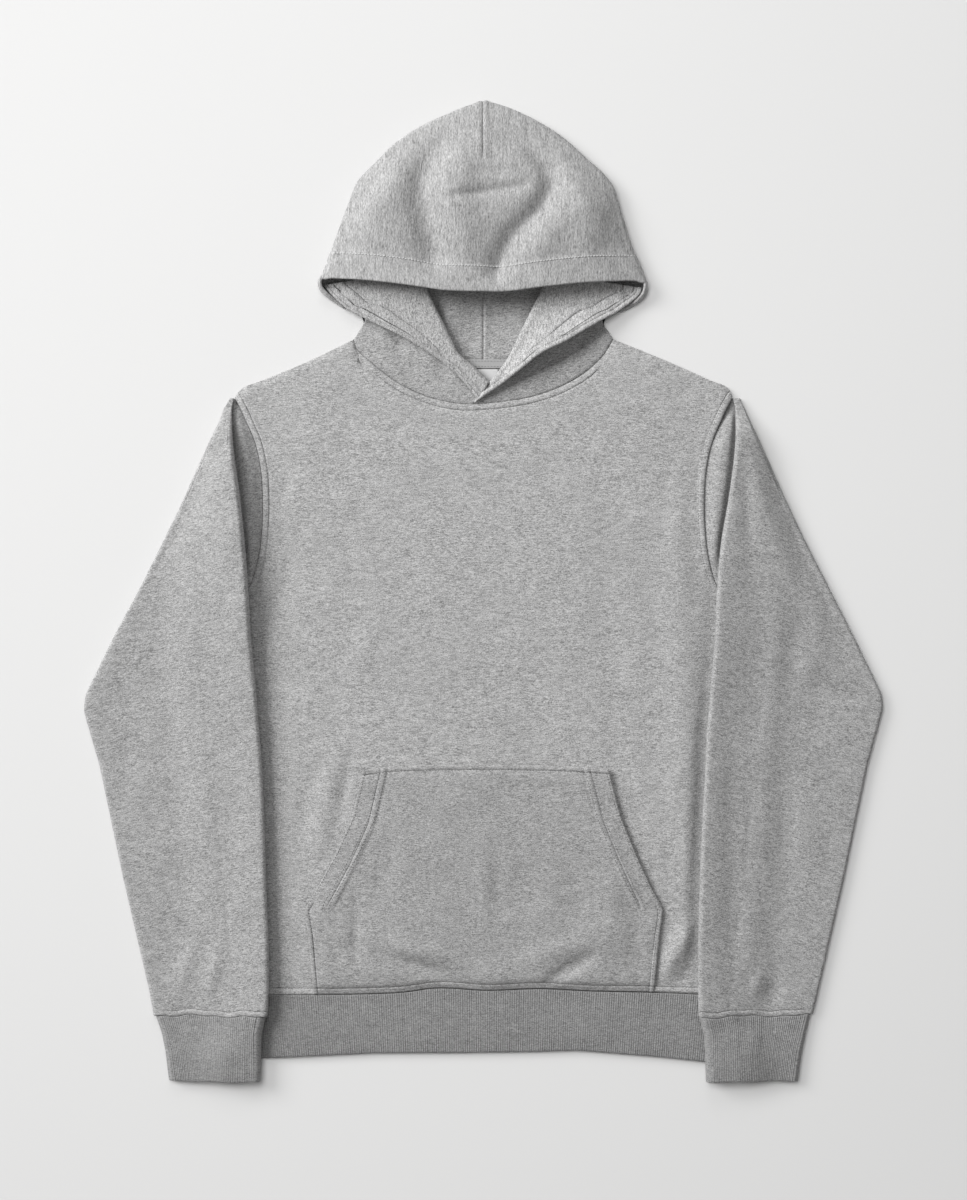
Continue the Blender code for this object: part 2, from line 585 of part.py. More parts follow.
def build():
    for item in list(bpy.data.objects):
        bpy.data.objects.remove(item)
    body_cloth = fabric("grey_heather_fleece", 0.66, 0.95)
    rib_cloth = fabric("grey_heather_rib", 0.55, 0.95)
    tape_cloth = fabric("grey_tape", 0.6, 0.9)
    label_cloth = fabric("white_label", 0.86, 0.8)

    neck_left, neck_right = front_neck()
    front_top = np.concatenate([neck_left[:-1], neck_right])
    wall("back_panel", body_panel(back_neck(), lambda x, y: np.full_like(x, BACK_Z)), FLEECE, body_cloth)
    wall("front_panel", body_panel(front_top, front_height), FLEECE, body_cloth)
    wall("pocket", pocket(), FLEECE, body_cloth)
    sleeve_thickness = [FLEECE * float(pinch(y)) for y in ARMHOLE_ROWS + SIDE_ROWS[1:] + LAST_ROWS]
    for name, side, inner, outer in (("left", -1, 2, 3), ("right", 1, 4, 5)):
        grid = sleeve(side, inner, outer)
        wall(f"sleeve_{name}", grid, sleeve_thickness, body_cloth, square_ends=True)
        grid = cuff(side, inner - 1, outer - 1)
        raised = ribs(grid, CUFF_RIBS)
        wall(f"cuff_{name}", grid, RIB, rib_cloth, closed=True, square_ends=True, raise_outer=raised)
    grid = hem_rib()
    wall("hem_rib", grid, RIB, rib_cloth, closed=True, square_ends=True, raise_outer=ribs(grid, HEM_RIBS))
    wall("hood_crown", hood_crown(), FLEECE, body_cloth)
    wall("hood_side_left", hood_side(neck_left[::-1], ROLL_LEFT, UNDER_CROWN_LEFT), FLEECE, body_cloth)
    wall("hood_side_right", hood_side(neck_right, ROLL_RIGHT, UNDER_CROWN_RIGHT), FLEECE, body_cloth)
    tape_z = FLEECE + GAP + TAPE / 2
    wall("neck_tape", strip((-34, 34), (213.5, 222), tape_z, 4), TAPE, tape_cloth)
    wall("neck_label", strip((-13, 14), (196, 212.5), tape_z, 4), TAPE, label_cloth)


build()
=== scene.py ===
"""Looks of a grey heather pullover hoodie that lies flat with its sleeves over the sides of the body.

Each piece of cloth is a closed shell that follows the form of its CAD node, with finer folds, rounded
edges and raised seams, and it replaces that node. Sizes are in millimetres until a mesh is made. X runs
across the garment, Y up to the hood and Z up from the floor. "Out" is the distance from the centre line,
so that one table serves both sides.
"""

import math

import bpy
import numpy as np
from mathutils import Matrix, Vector
from mathutils.bvhtree import BVHTree


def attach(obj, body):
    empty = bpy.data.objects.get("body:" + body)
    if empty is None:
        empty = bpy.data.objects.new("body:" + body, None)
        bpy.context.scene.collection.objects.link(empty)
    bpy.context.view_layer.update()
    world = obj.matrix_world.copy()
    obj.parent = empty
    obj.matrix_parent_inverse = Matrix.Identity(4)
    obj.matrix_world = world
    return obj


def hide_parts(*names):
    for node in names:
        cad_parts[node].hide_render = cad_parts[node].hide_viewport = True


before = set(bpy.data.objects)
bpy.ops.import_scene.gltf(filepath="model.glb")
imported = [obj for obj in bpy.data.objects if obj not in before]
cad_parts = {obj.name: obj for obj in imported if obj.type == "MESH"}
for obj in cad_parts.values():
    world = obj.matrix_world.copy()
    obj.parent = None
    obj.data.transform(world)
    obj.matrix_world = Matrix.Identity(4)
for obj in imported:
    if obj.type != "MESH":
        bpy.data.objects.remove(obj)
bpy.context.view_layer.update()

MM = 0.001
LEAST_CUT = 0.01

# Cloth
FLEECE = 2.8
RIB = 3.0
TAPE = 1.0
GAP = 0.3
SEAM_GAP = 0.45

# Heights of the middle of each layer above the floor
BACK_Z = FLEECE / 2
FRONT_Z = BACK_Z + FLEECE + GAP
PUFF = 1.5
RETURN_Z = 8.5
RETURN_EDGE_Z = 15.6
STRIP_PUFF = 5.5
SLEEVE_EDGE_Z = 21.0
SLEEVE_FOLD_Z = 13.0
SLEEVE_TOP_Z = 7.9
FOLD_FLAT = 0.55
DIP = 2.0
PINCH = 0.3
PINCH_LENGTH = 42
CUFF_LOW_Z = RIB / 2
CUFF_STEP_Z = 8.7
CUFF_EDGE_Z = 18.5
CUFF_TOP_Z = 9.4
CUFF_BLEND = 40
ROLL_LOW_Z = 6.7
ROLL_TOP_Z = 12.6
CROWN_DOME = 11

# Where the pieces meet
UNDERARM_Y = -47
HEM_SEAM_Y = -384
HEM_SEAM_OUT = 235.5
HEM_EDGE_OUT = 229
SLEEVE_TIP_Y = 184.5
SLEEVE_END_Y = -406
CUFF_END_Y = -469

# The seam that closes the body: round the armhole, then down the side. Columns: y, out
ARMHOLE = [(186, 238.5), (178, 234), (163, 227), (144, 219), (118, 213), (89, 211), (60, 211.5), (23, 217),
           (3, 224.5), (-22, 248), (UNDERARM_Y, 272)]
SIDE_SEAM = [(UNDERARM_Y, 272), (-130, 264), (-250, 251), (-392, 235)]

# How each sleeve lies, from its tip to its cuff. Columns: y, fold under it, inner edge left, outer edge
# left, inner edge right, outer edge right
SLEEVE_LAY = [
    (SLEEVE_TIP_Y, 240.5, 238.8, 243.3, 239, 246),
    (175, 246, 240.6, 249, 241, 250.5),
    (163, 249.5, 240.3, 252.8, 240.8, 255.5),
    (144, 252.5, 239, 262, 240.2, 264.2),
    (89, 258, 231.8, 286.6, 233.8, 288.7),
    (50, 262.5, 227.7, 305.5, 227, 307),
    (3, 268, 224, 328.9, 222.5, 331),
    (UNDERARM_Y, 275.5, 221.2, 355.8, 220.5, 356.3),
    (-99, 271, 216.5, 381, 216, 381.5),
    (-112, 270, 215.5, 383, 215.3, 383),
    (-118, 269, 215, 382.1, 214.5, 381.2),
    (-166, 264, 211.3, 368.1, 211.5, 368.1),
    (-275, 252, 207.3, 345.2, 206.3, 345.4),
    (-383, 240, 204.8, 320.1, 204.5, 320.8),
    (SLEEVE_END_Y, 238, 206, 316, 205, 315.5),
]

# Cuffs, from the sleeve down. Columns: y, inner and outer edge left, inner and outer edge right
CUFF_LAY = [
    (SLEEVE_END_Y - GAP, 208, 313.5, 205.5, 313),
    (-424, 211.8, 307.8, 210.5, 308.6),
    (-440, 212.4, 304.7, 211.5, 305),
    (CUFF_END_Y, 213, 301, 212.5, 300.8),
]

# The side that each sleeve and its cuff are on, and the columns with their inner and outer edges: first
# those of SLEEVE_LAY, then those of CUFF_LAY
SIDES = {"left": (-1, (2, 3), (1, 2)), "right": (1, (4, 5), (3, 4))}
FOLD_COLUMN = 1

# Shoulder lines and neck seams, from -X to +X. Columns: x, y
SHOULDER_LEFT = [(-238.5, 186), (-233, 192.5), (-210, 202.5), (-177, 216), (-124.3, 241)]
SHOULDER_RIGHT = [(124.3, 241), (169.5, 222.7), (215, 202.6), (236, 192), (238.5, 186)]
NECK_LEFT = [(-124.3, 241), (-121.5, 232), (-116, 226), (-100.3, 212.2), (-80.2, 197.8), (-49.4, 184.3),
             (-22, 179), (-10, 178.6)]
NECK_RIGHT = [(-10, 178.6), (13.9, 180.5), (44.6, 185.3), (83, 199.7), (104, 214), (116, 227), (124.3, 241)]
BACK_NECK = [(-124.3, 241), (-100, 229), (-60, 219), (0, 215.5), (60, 219), (100, 229), (124.3, 241)]

# Hem: the seam of the rib, and the rib's lower edge. Columns: x, y
HEM_SEAM = [(-HEM_SEAM_OUT, -386), (-180, -386.5), (-120, -386), (-75, -384), (-50, -380.5), (5, -382.5),
            (55, -380.8), (100, -383), (165, -384.5), (HEM_SEAM_OUT, -388)]
HEM_EDGE = [(-HEM_EDGE_OUT, -448.5), (-190, -447), (-105, -442.8), (-20, -442.5), (50, -441.5), (90, -440.3),
            (165, -446.2), (HEM_EDGE_OUT, -453)]

# Pocket: its top edge, with columns x, y, and its sides, with columns y, left edge, right edge
POCKET_TOP = [(-115.5, -171.5), (-93, -168.3), (-55, -166.5), (0, -166), (75, -167.2), (119.3, -170)]
POCKET = [(-170, -115.5, 119.3), (-215, -126, 131), (-250.5, -142.4, 145.6), (-281.5, -159.5, 160),
          (-300, -170.5, 170.5), (-304, -171, 171.5), (-329, -167.2, 168), (-380.5, -162.5, 163)]

# Hood. Columns: x, y. The outline runs from under the left lapel round the left corner, over the crown
# and round the right corner, and the brim from the left corner to the right one.
HOOD_OUTLINE = [(-133.5, 271), (-142, 276.6), (-149.5, 282), (-154.5, 286.8), (-157.6, 293), (-157.2, 297.5),
                (-155, 301.5), (-151.6, 309), (-146.8, 323), (-142.8, 334.5), (-128.5, 373), (-122, 389.5),
                (-101.5, 412), (-89, 425), (-63.8, 442.8), (-37.8, 455.3), (-12.4, 465.5), (0.5, 469),
                (9.5, 467.2), (45.4, 453), (73.5, 436), (98.7, 414), (117, 397), (122.8, 389.5),
                (132.3, 361.5), (145.1, 323), (149.5, 313), (153.2, 303), (155.8, 295), (155.6, 288.5),
                (152.5, 281.5), (147, 276), (139.5, 271.5), (131, 266.8)]
HOOD_BRIM = [(-152, 298.6), (-146, 299.8), (-141, 300), (-129, 299.8), (-115, 299), (-90, 296.5), (-64, 293),
             (-38, 289.4), (-3, 288.5), (19.5, 288.2), (57, 292.5), (99.5, 296.7), (125, 297.8), (140, 298),
             (146, 297.4), (151, 295.4)]
BRIM_LEAN = [1.2, 1.8, 2.2, 2.8, 3.2, 3.6, 3.8, 4, 4.2, 4, 3.8, 3.4, 3, 2.4, 2, 1.4]
HOOD_BACK_SIDE = [(-124.3, 241), (-113.6, 260), (-120, 268)]
DART_Y = 410
BRIM_CURL = 4.0
CORNER_SHARE = 0.07
TIP = 0.35
EDGE_INSET = 1.8

# How the hood's edge stands, by the share of the outline from its nearer end. Columns: share, height of
# the roll, how far round it goes in degrees, height of the brim
HOOD_RISE = [(0, 5, 70, 3.6), (0.05, 11.5, 92, 10.4), (0.08, 13, 120, 12), (0.115, 14, 168, 15),
             (0.17, 15, 180, 20), (0.28, 14.5, 180, 26), (0.5, 13, 180, 27)]

# Sides of the hood, by even stations along the front neck seam from the centre front to the shoulder.
# Columns: roll x, roll y, edge x, edge y, edge z
ROLL_LEFT = [(6, 200, -4, 181.8, 8.5), (-8, 214, -20.5, 202.5, 9.5), (-23.5, 227.5, -37, 217.5, 10.5),
             (-31, 242, -57.5, 231.5, 11.5), (-38, 256.5, -80.5, 245, 12), (-43.7, 268, -107, 257.5, 11.5),
             (-50.5, 282, -131, 270, 9.5)]
ROLL_RIGHT = [(-7.5, 183, -9, 180.3, 9.2), (10.5, 205.5, 14.5, 196, 14), (22.6, 222, 36.5, 212.5, 21),
              (29.3, 235.2, 55.5, 227, 25), (36, 249.5, 79, 238.5, 24), (42.7, 263, 104, 253.5, 19),
              (49.5, 276.5, 127.5, 266.5, 11.5)]
# The last stations, on the side of the hood's own neck. Columns: neck x, neck y, then as above
UNDER_CROWN_LEFT = [(-113.6, 259.5, -57, 296.5, -146.6, 285, 8.2), (-121, 268, -63, 310, -152.8, 292.8, 8)]
UNDER_CROWN_RIGHT = [(113.6, 259.5, 57, 292, 147.2, 281.4, 8), (121, 268, 63, 306, 151.4, 290, 7.8)]

# Folds. Columns: x, y, direction in degrees, length, width, rise. The broad ones are in the CAD too.
FRONT_BROAD = [
    (0, 60, 0, 300, 170, 1.6),
    (-60, -90, 90, 260, 110, 1.3),
    (90, -60, 100, 260, 60, 1.6),
    (150, -110, 95, 210, 34, 1.2),
    (125, -110, 95, 190, 18, -0.9),
    (-60, -350, 0, 70, 26, -1.4),
    (70, -352, 160, 80, 22, -1.5),
    (-125, -315, 80, 90, 20, -1.0),
    (0, -260, 0, 220, 90, 1.7),
]
FRONT_CREASES = [
    (-150, -205, 79, 70, 14, 2.4),
    (-132, -185, 79, 55, 10, -1.4),
    (-172, -215, 84, 50, 10, -1.2),
    (-114, -56, 80, 50, 14, 1.2),
    (148, -215, 105, 35, 8, -1.4),
    (184, -345, 56, 46, 12, 5.0),
    (198, -362, 56, 40, 10, -3.0),
    (-196, -5, 70, 45, 12, -1.4),
    (-190, 95, 75, 22, 8, -1.0),
    (176, 96, 90, 70, 12, -1.0),
    (192, -150, 92, 260, 26, 4.6),
    (186, 60, 92, 90, 18, 1.5),
]
POCKET_CREASES = [
    (-60, -340, 0, 90, 44, 2.6),
    (78, -345, 0, 70, 44, 2.6),
    (-122, -330, 91, 42, 8, -2.6),
    (-95, -266, 75, 34, 14, -2.2),
    (0, -283, 92, 48, 10, 0.9),
    (14, -280, 92, 50, 12, -1.3),
    (38, -285, 85, 34, 20, -1.8),
    (-62, -359, -22, 44, 9, -4.6),
    (-66, -343, -16, 48, 12, 2.6),
    (82, -361, 30, 36, 9, -4.6),
    (68, -344, 18, 46, 12, 2.4),
    (88, -285, 88, 60, 20, -1.8),
    (150, -320, 85, 60, 16, -1.8),
    (122, -300, 88, 60, 18, 2.2),
    (-30, -215, 60, 60, 26, 1.2),
    (50, -205, 110, 50, 22, -1.0),
]
SLEEVE_CREASES = {
    "left": [
        (-246, 95, 78, 120, 40, 3.4),
        (-226, 30, 82, 150, 62, 7.0),
        (-330, -60, 60, 120, 70, -2.0),
        (-290, 10, 30, 130, 110, 2.0),
        (-350, -180, 75, 70, 20, -2.2),
        (-258, -365, 78, 34, 9, 2.4),
        (-300, -330, 80, 60, 20, -2.2),
        (-285, -360, 70, 40, 10, 1.6),
        (-330, -95, 20, 50, 14, -2.2),
        (-262, -190, 86, 160, 26, 1.8),
        (-245, -20, 80, 60, 12, -1.4),
    ],
    "right": [
        (272, 95, 103, 110, 30, 4.0),
        (288, 25, 100, 120, 56, 2.2),
        (251, 90, 92, 80, 12, -2.2),
        (236, -220, 90, 200, 12, -1.6),
        (293, -75, 85, 46, 16, -2.6),
        (312, -60, 80, 60, 18, 2.2),
        (285, -210, 93, 90, 14, -1.4),
        (262, 0, 0, 150, 80, 3.0),
        (308, -215, 95, 90, 18, 1.0),
        (278, -383, 60, 14, 8, -4.0),
        (262, -375, 70, 22, 10, 2.4),
        (330, -95, 160, 50, 14, -2.4),
        (255, -330, 88, 60, 14, 1.4),
    ],
}
CROWN_CREASES = [
    (-95, 385, 75, 70, 28, 5.0),
    (-26, 388, 85, 75, 24, 4.5),
    (-16, 335, 95, 44, 20, 3.5),
    (96, 375, 98, 80, 26, 5.0),
    (62, 335, 62, 44, 20, 3.0),
    (34, 425, 110, 34, 14, 1.0),
    (13, 303, 92, 14, 7, -1.6),
]
# Troughs of the crown, each along a path, with its half width and its rise
CROWN_TROUGHS = [
    ([(-22, 458), (-38, 438), (-51, 417), (-58, 389), (-56, 361), (-50, 335), (-46, 318)], 14, -9.0),
    ([(9, 458), (37, 434), (56, 412), (65, 389), (58, 370), (38, 348), (22, 327), (13, 300)], 11, -8.5),
    ([(-27, 375), (0, 379), (39, 385)], 4.5, -3.4),
    ([(-9, 399.5), (18, 399.5)], 3.5, -1.8),
]
LAPEL_CREASES = [
    (-116, 285, -45, 16, 6, -1.4),
    (-98, 289, -35, 16, 6, -1.0),
    (-134, 286, -60, 9, 5, -1.0),
    (136, 284, -65, 9, 4, -2.0),
    (118, 290, 30, 16, 6, -1.0),
]
COLLAR_CREASES = [
    (-40, 218, -60, 18, 7, -2.4),
    (-52, 222, -60, 18, 8, 1.4),
    (-81, 236, -70, 16, 6, -2.6),
    (-94, 240, -60, 16, 8, 1.2),
    (70, 222, 25, 40, 9, -2.6),
    (96, 238, 30, 24, 8, -2.0),
    (-18, 203, -50, 16, 6, -2.0),
]
HOOD_BACK_CREASES = [
    (-30, 262, 70, 40, 14, 2.4),
    (34, 255, 100, 40, 16, 2.6),
    (-8, 290, 60, 24, 10, 1.6),
    (14, 230, 80, 20, 9, 1.4),
]

# Edges, seams and stitches. RIM holds how far from an edge the lines beside it are. A SEWN_RIM or a
# FREE_RIM says how far in the cloth has its full thickness, and what share of it is left at the edge.
RIM = [0, 0.35, 0.8, 1.4, 2.2, 3.0, 3.8, 4.6, 5.3, 6.0, 6.7, 7.6, 9.0, 11.0]
SEWN_RIM = (1.4, 0.15)
FREE_RIM = (1.6, 0.25)
WELT = 5.4
WELT_RISE = 1.0
STITCH_GROOVE = 0.55
HOOD_HEM = 24.5
LAPEL_HEM = 17.5
POCKET_HEM = 20.0
POCKET_ROWS = 3
STITCH_LENGTH = 2.1
STITCH_PITCH = 3.0
THREAD = 0.3

# Ribs
HEM_RIB_PITCH = 2.2
CUFF_RIB_PITCH = 2.25
RIB_RISE = 0.7
RIB_SAMPLES = 5
CUFF_RIBS = round((CUFF_LAY[0][2] - CUFF_LAY[0][1]) / CUFF_RIB_PITCH)
HEM_CORNER_OUT = HEM_SEAM_OUT + 4


def spline(knots, values, at):
    """A smooth curve through the values at the knots, read at other places."""
    knots = np.asarray(knots, float)
    values = np.asarray(values, float)
    at = np.asarray(at, float)
    if knots[0] > knots[-1]:
        knots, values = knots[::-1], values[::-1]
    steps = np.diff(knots)
    slopes = np.diff(values) / steps
    middle = (slopes[:-1] * steps[1:] + slopes[1:] * steps[:-1]) / (steps[:-1] + steps[1:])
    tangents = np.concatenate([slopes[:1], middle, slopes[-1:]])
    i = np.clip(np.searchsorted(knots, at) - 1, 0, len(steps) - 1)
    t = (at - knots[i]) / steps[i]
    return (values[i] * (1 + 2 * t) * (1 - t) ** 2 + values[i + 1] * t * t * (3 - 2 * t)
            + steps[i] * (tangents[i] * t * (1 - t) ** 2 - tangents[i + 1] * t * t * (1 - t)))


def column(table, number):
    return [row[number] for row in table]


def read(table, number, at):
    """A column of a table as a smooth curve along its first column."""
    return spline(column(table, 0), column(table, number), at)


def read_straight(table, number, at):
    """The same in straight stretches, for a table whose first column falls."""
    return np.interp(-at, [-key for key in column(table, 0)], column(table, number))


def steps_along(points):
    """The distance along a path at each of its points."""
    lengths = np.linalg.norm(np.diff(points, axis=0), axis=1)
    return np.concatenate([[0], np.cumsum(lengths)])


def trace(points, places, smooth=True):
    """The points of a path at places from 0 to 1 along it, or at that many even places."""
    points = np.asarray(points, float)
    along = steps_along(points)
    at = np.linspace(0, 1, places) if np.ndim(places) == 0 else np.asarray(places)
    curve = spline if smooth else (lambda knots, values, where: np.interp(where, knots, values))
    return np.stack([curve(along, axis, at * along[-1]) for axis in points.T], axis=1)


def smooth_step(t):
    t = np.clip(t, 0, 1)
    return t * t * (3 - 2 * t)


def arc(centre, radius, start, end, count):
    """Points (out, z) round part of a circle. Angles in degrees, 0 pointing out and 90 up."""
    angles = np.radians(np.linspace(start, end, count))
    return [(centre[0] + radius * math.cos(a), centre[1] + radius * math.sin(a)) for a in angles]


def folds(table, x, y):
    """How far the listed rises and hollows lift the cloth at a place."""
    lift = np.zeros_like(x)
    for centre_x, centre_y, direction, length, width, rise in table:
        angle = math.radians(direction)
        along = (x - centre_x) * math.cos(angle) + (y - centre_y) * math.sin(angle)
        across = (y - centre_y) * math.cos(angle) - (x - centre_x) * math.sin(angle)
        lift += rise * np.exp(-2 * (along / length) ** 2 - 2 * (across / width) ** 2)
    return lift


def rumple(x, y, seed, size, waves=14):
    """A soft unevenness, about 1 high at most, whose swells are about so many millimetres long."""
    draw = np.random.default_rng(seed)
    lift = np.zeros_like(x)
    for _ in range(waves):
        angle = draw.uniform(0, math.pi)
        length = size * draw.uniform(0.7, 1.6)
        phase = draw.uniform(0, 2 * math.pi)
        lift += np.sin(2 * math.pi * (x * math.cos(angle) + y * math.sin(angle)) / length + phase)
    return lift / math.sqrt(2 * waves)


def distance(path, x, y):
    """How far each place is from a path."""
    path = np.asarray(path, float)
    nearest = np.full(x.shape, np.inf)
    for (ax, ay), (bx, by) in zip(path[:-1], path[1:]):
        dx, dy = bx - ax, by - ay
        t = np.clip(((x - ax) * dx + (y - ay) * dy) / (dx * dx + dy * dy), 0, 1)
        nearest = np.minimum(nearest, np.hypot(x - ax - t * dx, y - ay - t * dy))
    return nearest


def beside(path, offset):
    """A path that runs beside another, on its right for a positive offset."""
    path = np.asarray(path, float)
    tangent = np.gradient(path, axis=0)
    tangent /= np.linalg.norm(tangent, axis=1, keepdims=True)
    return path + np.reshape(offset, (-1, 1)) * np.stack([tangent[:, 1], -tangent[:, 0]], axis=1)


def beside_at(points, places, offset, step=0.002):
    """Points at places from 0 to 1 along a path, moved square to it: to its right for a positive offset."""
    ahead = trace(points, np.clip(places + step, 0, 1)) - trace(points, np.clip(places - step, 0, 1))
    square = np.stack([ahead[:, 1], -ahead[:, 0]], axis=1)
    square /= np.linalg.norm(square, axis=1, keepdims=True)
    return trace(points, places) + square * np.reshape(offset, (-1, 1))


def welt(away, width=WELT, rise=WELT_RISE, groove=STITCH_GROOVE):
    """The rise of a seam allowance under the cloth: full beside the seam, pressed in by the stitches."""
    middle = np.clip(1 - (2 * away / width - 1) ** 2, 0, 1)
    return rise * np.sqrt(middle) - groove * np.exp(-((away - width) / 0.7) ** 2)


def troughs(table, x, y):
    """How far troughs along paths lift the cloth at a place."""
    return sum(rise * np.exp(-(distance(trace(path, 30), x, y) / width) ** 2) for path, width, rise in table)


def turned_hem(away, width, rise=0.5, groove=0.45):
    """The rise of cloth doubled by a turned hem, and the groove of its stitches."""
    doubled = smooth_step((width - away) / 1.6)
    return rise * doubled - groove * np.exp(-((away - width) / 0.9) ** 2)


def lines(length, step, start=True, end=True):
    """Places from 0 to 1 along a length: close together at the rims, about a step apart between them."""
    low = RIM if start else RIM[:1]
    high = RIM if end else RIM[:1]
    count = max(2, round((length - low[-1] - high[-1]) / step))
    middle = np.linspace(low[-1], length - high[-1], count + 1)
    far = length - np.array(high[:-1])[::-1]
    return np.concatenate([low[:-1], middle, far]) / length


def rounded(away, rim):
    """The share of its full thickness that cloth has so far from its edge."""
    reach, least = rim
    inside = np.clip(away / reach, 0, 1)
    return least + (1 - least) * np.sqrt(1 - (1 - inside) ** 2)


def coons(bottom, top, left, right, u, v):
    """Fills the area between four edges. Returns a grid of points, one row for each point of the sides."""
    u = u[None, :, None]
    v = v[:, None, None]
    between_rows = (1 - v) * bottom[None] + v * top[None]
    between_sides = (1 - u) * left[:, None] + u * right[:, None]
    corners = ((1 - u) * (1 - v) * bottom[0] + u * (1 - v) * bottom[-1]
               + (1 - u) * v * top[0] + u * v * top[-1])
    return between_rows + between_sides - corners


def normals(grid, closed=False):
    """The direction square to the cloth at each point of a grid."""
    down = np.gradient(grid, axis=0)
    if closed:
        across = np.roll(grid, -1, axis=1) - np.roll(grid, 1, axis=1)
    else:
        across = np.gradient(grid, axis=1)
    square = np.cross(down, across)
    return square / np.linalg.norm(square, axis=2, keepdims=True)


def cloth_area(grid, closed):
    """The area of a grid, in square metres."""
    if closed:
        grid = np.concatenate([grid, grid[:, :1]], axis=1)
    first = np.cross(grid[1:, :-1] - grid[:-1, :-1], grid[:-1, 1:] - grid[:-1, :-1])
    second = np.cross(grid[1:, :-1] - grid[1:, 1:], grid[:-1, 1:] - grid[1:, 1:])
    return (np.linalg.norm(first, axis=2).sum() + np.linalg.norm(second, axis=2).sum()) / 2 * MM * MM


def add(name, data):
    """Puts new data into the scene as an object."""
    item = bpy.data.objects.new(name, data)
    bpy.context.scene.collection.objects.link(item)
    return item


def smooth_mesh(name, points, faces, material):
    """A smooth shaded mesh from points in millimetres. It moves with the one body."""
    mesh = bpy.data.meshes.new(name)
    mesh.from_pydata((points * MM).tolist(), [], faces)
    mesh.materials.append(material)
    mesh.shade_smooth()
    piece = add(name, mesh)
    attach(piece, "root")
    return piece


def outward_faces(points, quads):
    """The faces of a closed shell, turned so that they point out."""
    corners = points[quads]
    first = np.einsum("ij,ij->i", corners[:, 0], np.cross(corners[:, 1], corners[:, 2]))
    second = np.einsum("ij,ij->i", corners[:, 0], np.cross(corners[:, 2], corners[:, 3]))
    return quads[:, ::-1] if (first + second).sum() < 0 else quads


def shell(name, grid, half, material, closed=False, raised=0.0, sunk=0.0, other=None):
    """A closed shell of cloth with the grid down its middle.

    half is half its thickness, raised what stands out on top of that on its outer side and sunk what is
    missing from its inner side; they may differ from point to point. A closed grid is a tube. other is a
    second material and, for each point of the grid, whether the face that starts there has it.
    """
    rows, columns = grid.shape[:2]
    square = normals(grid, closed)
    half = np.broadcast_to(half, (rows, columns))[..., None]
    raised = np.broadcast_to(raised, (rows, columns))[..., None]
    sunk = np.broadcast_to(sunk, (rows, columns))[..., None]
    outer = grid + square * (half + raised)
    inner = grid - square * (half - sunk)
    points = np.concatenate([outer.reshape(-1, 3), inner.reshape(-1, 3)])
    layer = rows * columns
    wide = columns if closed else columns - 1
    row = np.repeat(np.arange(rows - 1), wide)
    here = np.tile(np.arange(wide), rows - 1)
    following = (here + 1) % columns
    a, b = row * columns + here, (row + 1) * columns + here
    c, d = (row + 1) * columns + following, row * columns + following
    faces = [np.stack([a, b, c, d], axis=1), np.stack([a, d, c, b], axis=1) + layer]
    here = np.arange(wide)
    following = (here + 1) % columns
    last = (rows - 1) * columns
    faces.append(np.stack([here, following, following + layer, here + layer], axis=1))
    faces.append(np.stack([following, here, here + layer, following + layer], axis=1) + last)
    if not closed:
        here = np.arange(rows - 1) * columns
        faces.append(np.stack([here + columns, here, here + layer, here + columns + layer], axis=1))
        here = here + columns - 1
        faces.append(np.stack([here, here + columns, here + columns + layer, here + layer], axis=1))
    piece = smooth_mesh(name, points, outward_faces(points, np.concatenate(faces)).tolist(), material)
    if other:
        piece.data.materials.append(other[0])
        has_other = np.tile(other[1].ravel(), 2)
        corners = np.empty(len(piece.data.loops), int)
        piece.data.loops.foreach_get("vertex_index", corners)
        index = has_other[corners.reshape(-1, 4)].all(axis=1).astype(int)
        piece.data.polygons.foreach_set("material_index", index)
    return piece


def sheet(piece, grid, nodes, closed=False):
    """Works out a piece of cloth's width, length and area, which nothing here uses, and hides the nodes that
    it stands for.
    """
    around = np.concatenate([grid, grid[:, :1]], axis=1) if closed else grid
    width = np.linalg.norm(np.diff(around, axis=1), axis=2).sum(axis=1).max() * MM
    length = max(np.linalg.norm(np.diff(grid, axis=0), axis=2).sum(axis=0).max() * MM, LEAST_CUT)
    area = min(cloth_area(grid, closed), width * length)
    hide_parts(*nodes)
    return piece


# --- Materials -----------------------------------------------------------------------------------------

# Sizes of the specks in millimetres: along the fibres, across them and in depth
STREAK = (4.6, 1.15, 3.5)
GRAIN = (1.3, 0.65, 1.3)
MOTTLE = (14, 7, 14)
CROWN_STREAK = (10, 1.5, 10)
CROWN_GRAIN = (2.6, 0.75, 2.6)
RIB_STREAK = (3.6, 0.9, 3.0)
THREAD_GRAIN = (0.6, 0.3, 0.3)
WARM_GREY = (1.0, 0.997, 0.995)


def material_nodes(name, roughness, sheen):
    material = bpy.data.materials.new(name)
    material.use_nodes = True
    shader = material.node_tree.nodes["Principled BSDF"]
    shader.inputs["Roughness"].default_value = roughness
    shader.inputs["Specular IOR Level"].default_value = 0.15
    shader.inputs["Sheen Weight"].default_value = sheen
    shader.inputs["Sheen Roughness"].default_value = 0.6
    return material, material.node_tree, shader


def speckle(tree, size, angle, detail):
    """A noise whose grains have a size (x, y, z) in millimetres, turned about Z by an angle in degrees."""
    place = tree.nodes.new("ShaderNodeTexCoord")
    mapping = tree.nodes.new("ShaderNodeMapping")
    mapping.vector_type = "TEXTURE"
    mapping.inputs["Rotation"].default_value = (0, 0, math.radians(angle))
    mapping.inputs["Scale"].default_value = [side * MM for side in size]
    noise = tree.nodes.new("ShaderNodeTexNoise")
    noise.inputs["Scale"].default_value = 1
    noise.inputs["Detail"].default_value = detail
    noise.inputs["Roughness"].default_value = 0.6
    tree.links.new(place.outputs["Object"], mapping.inputs["Vector"])
    tree.links.new(mapping.outputs["Vector"], noise.inputs["Vector"])
    return noise.outputs["Fac"]


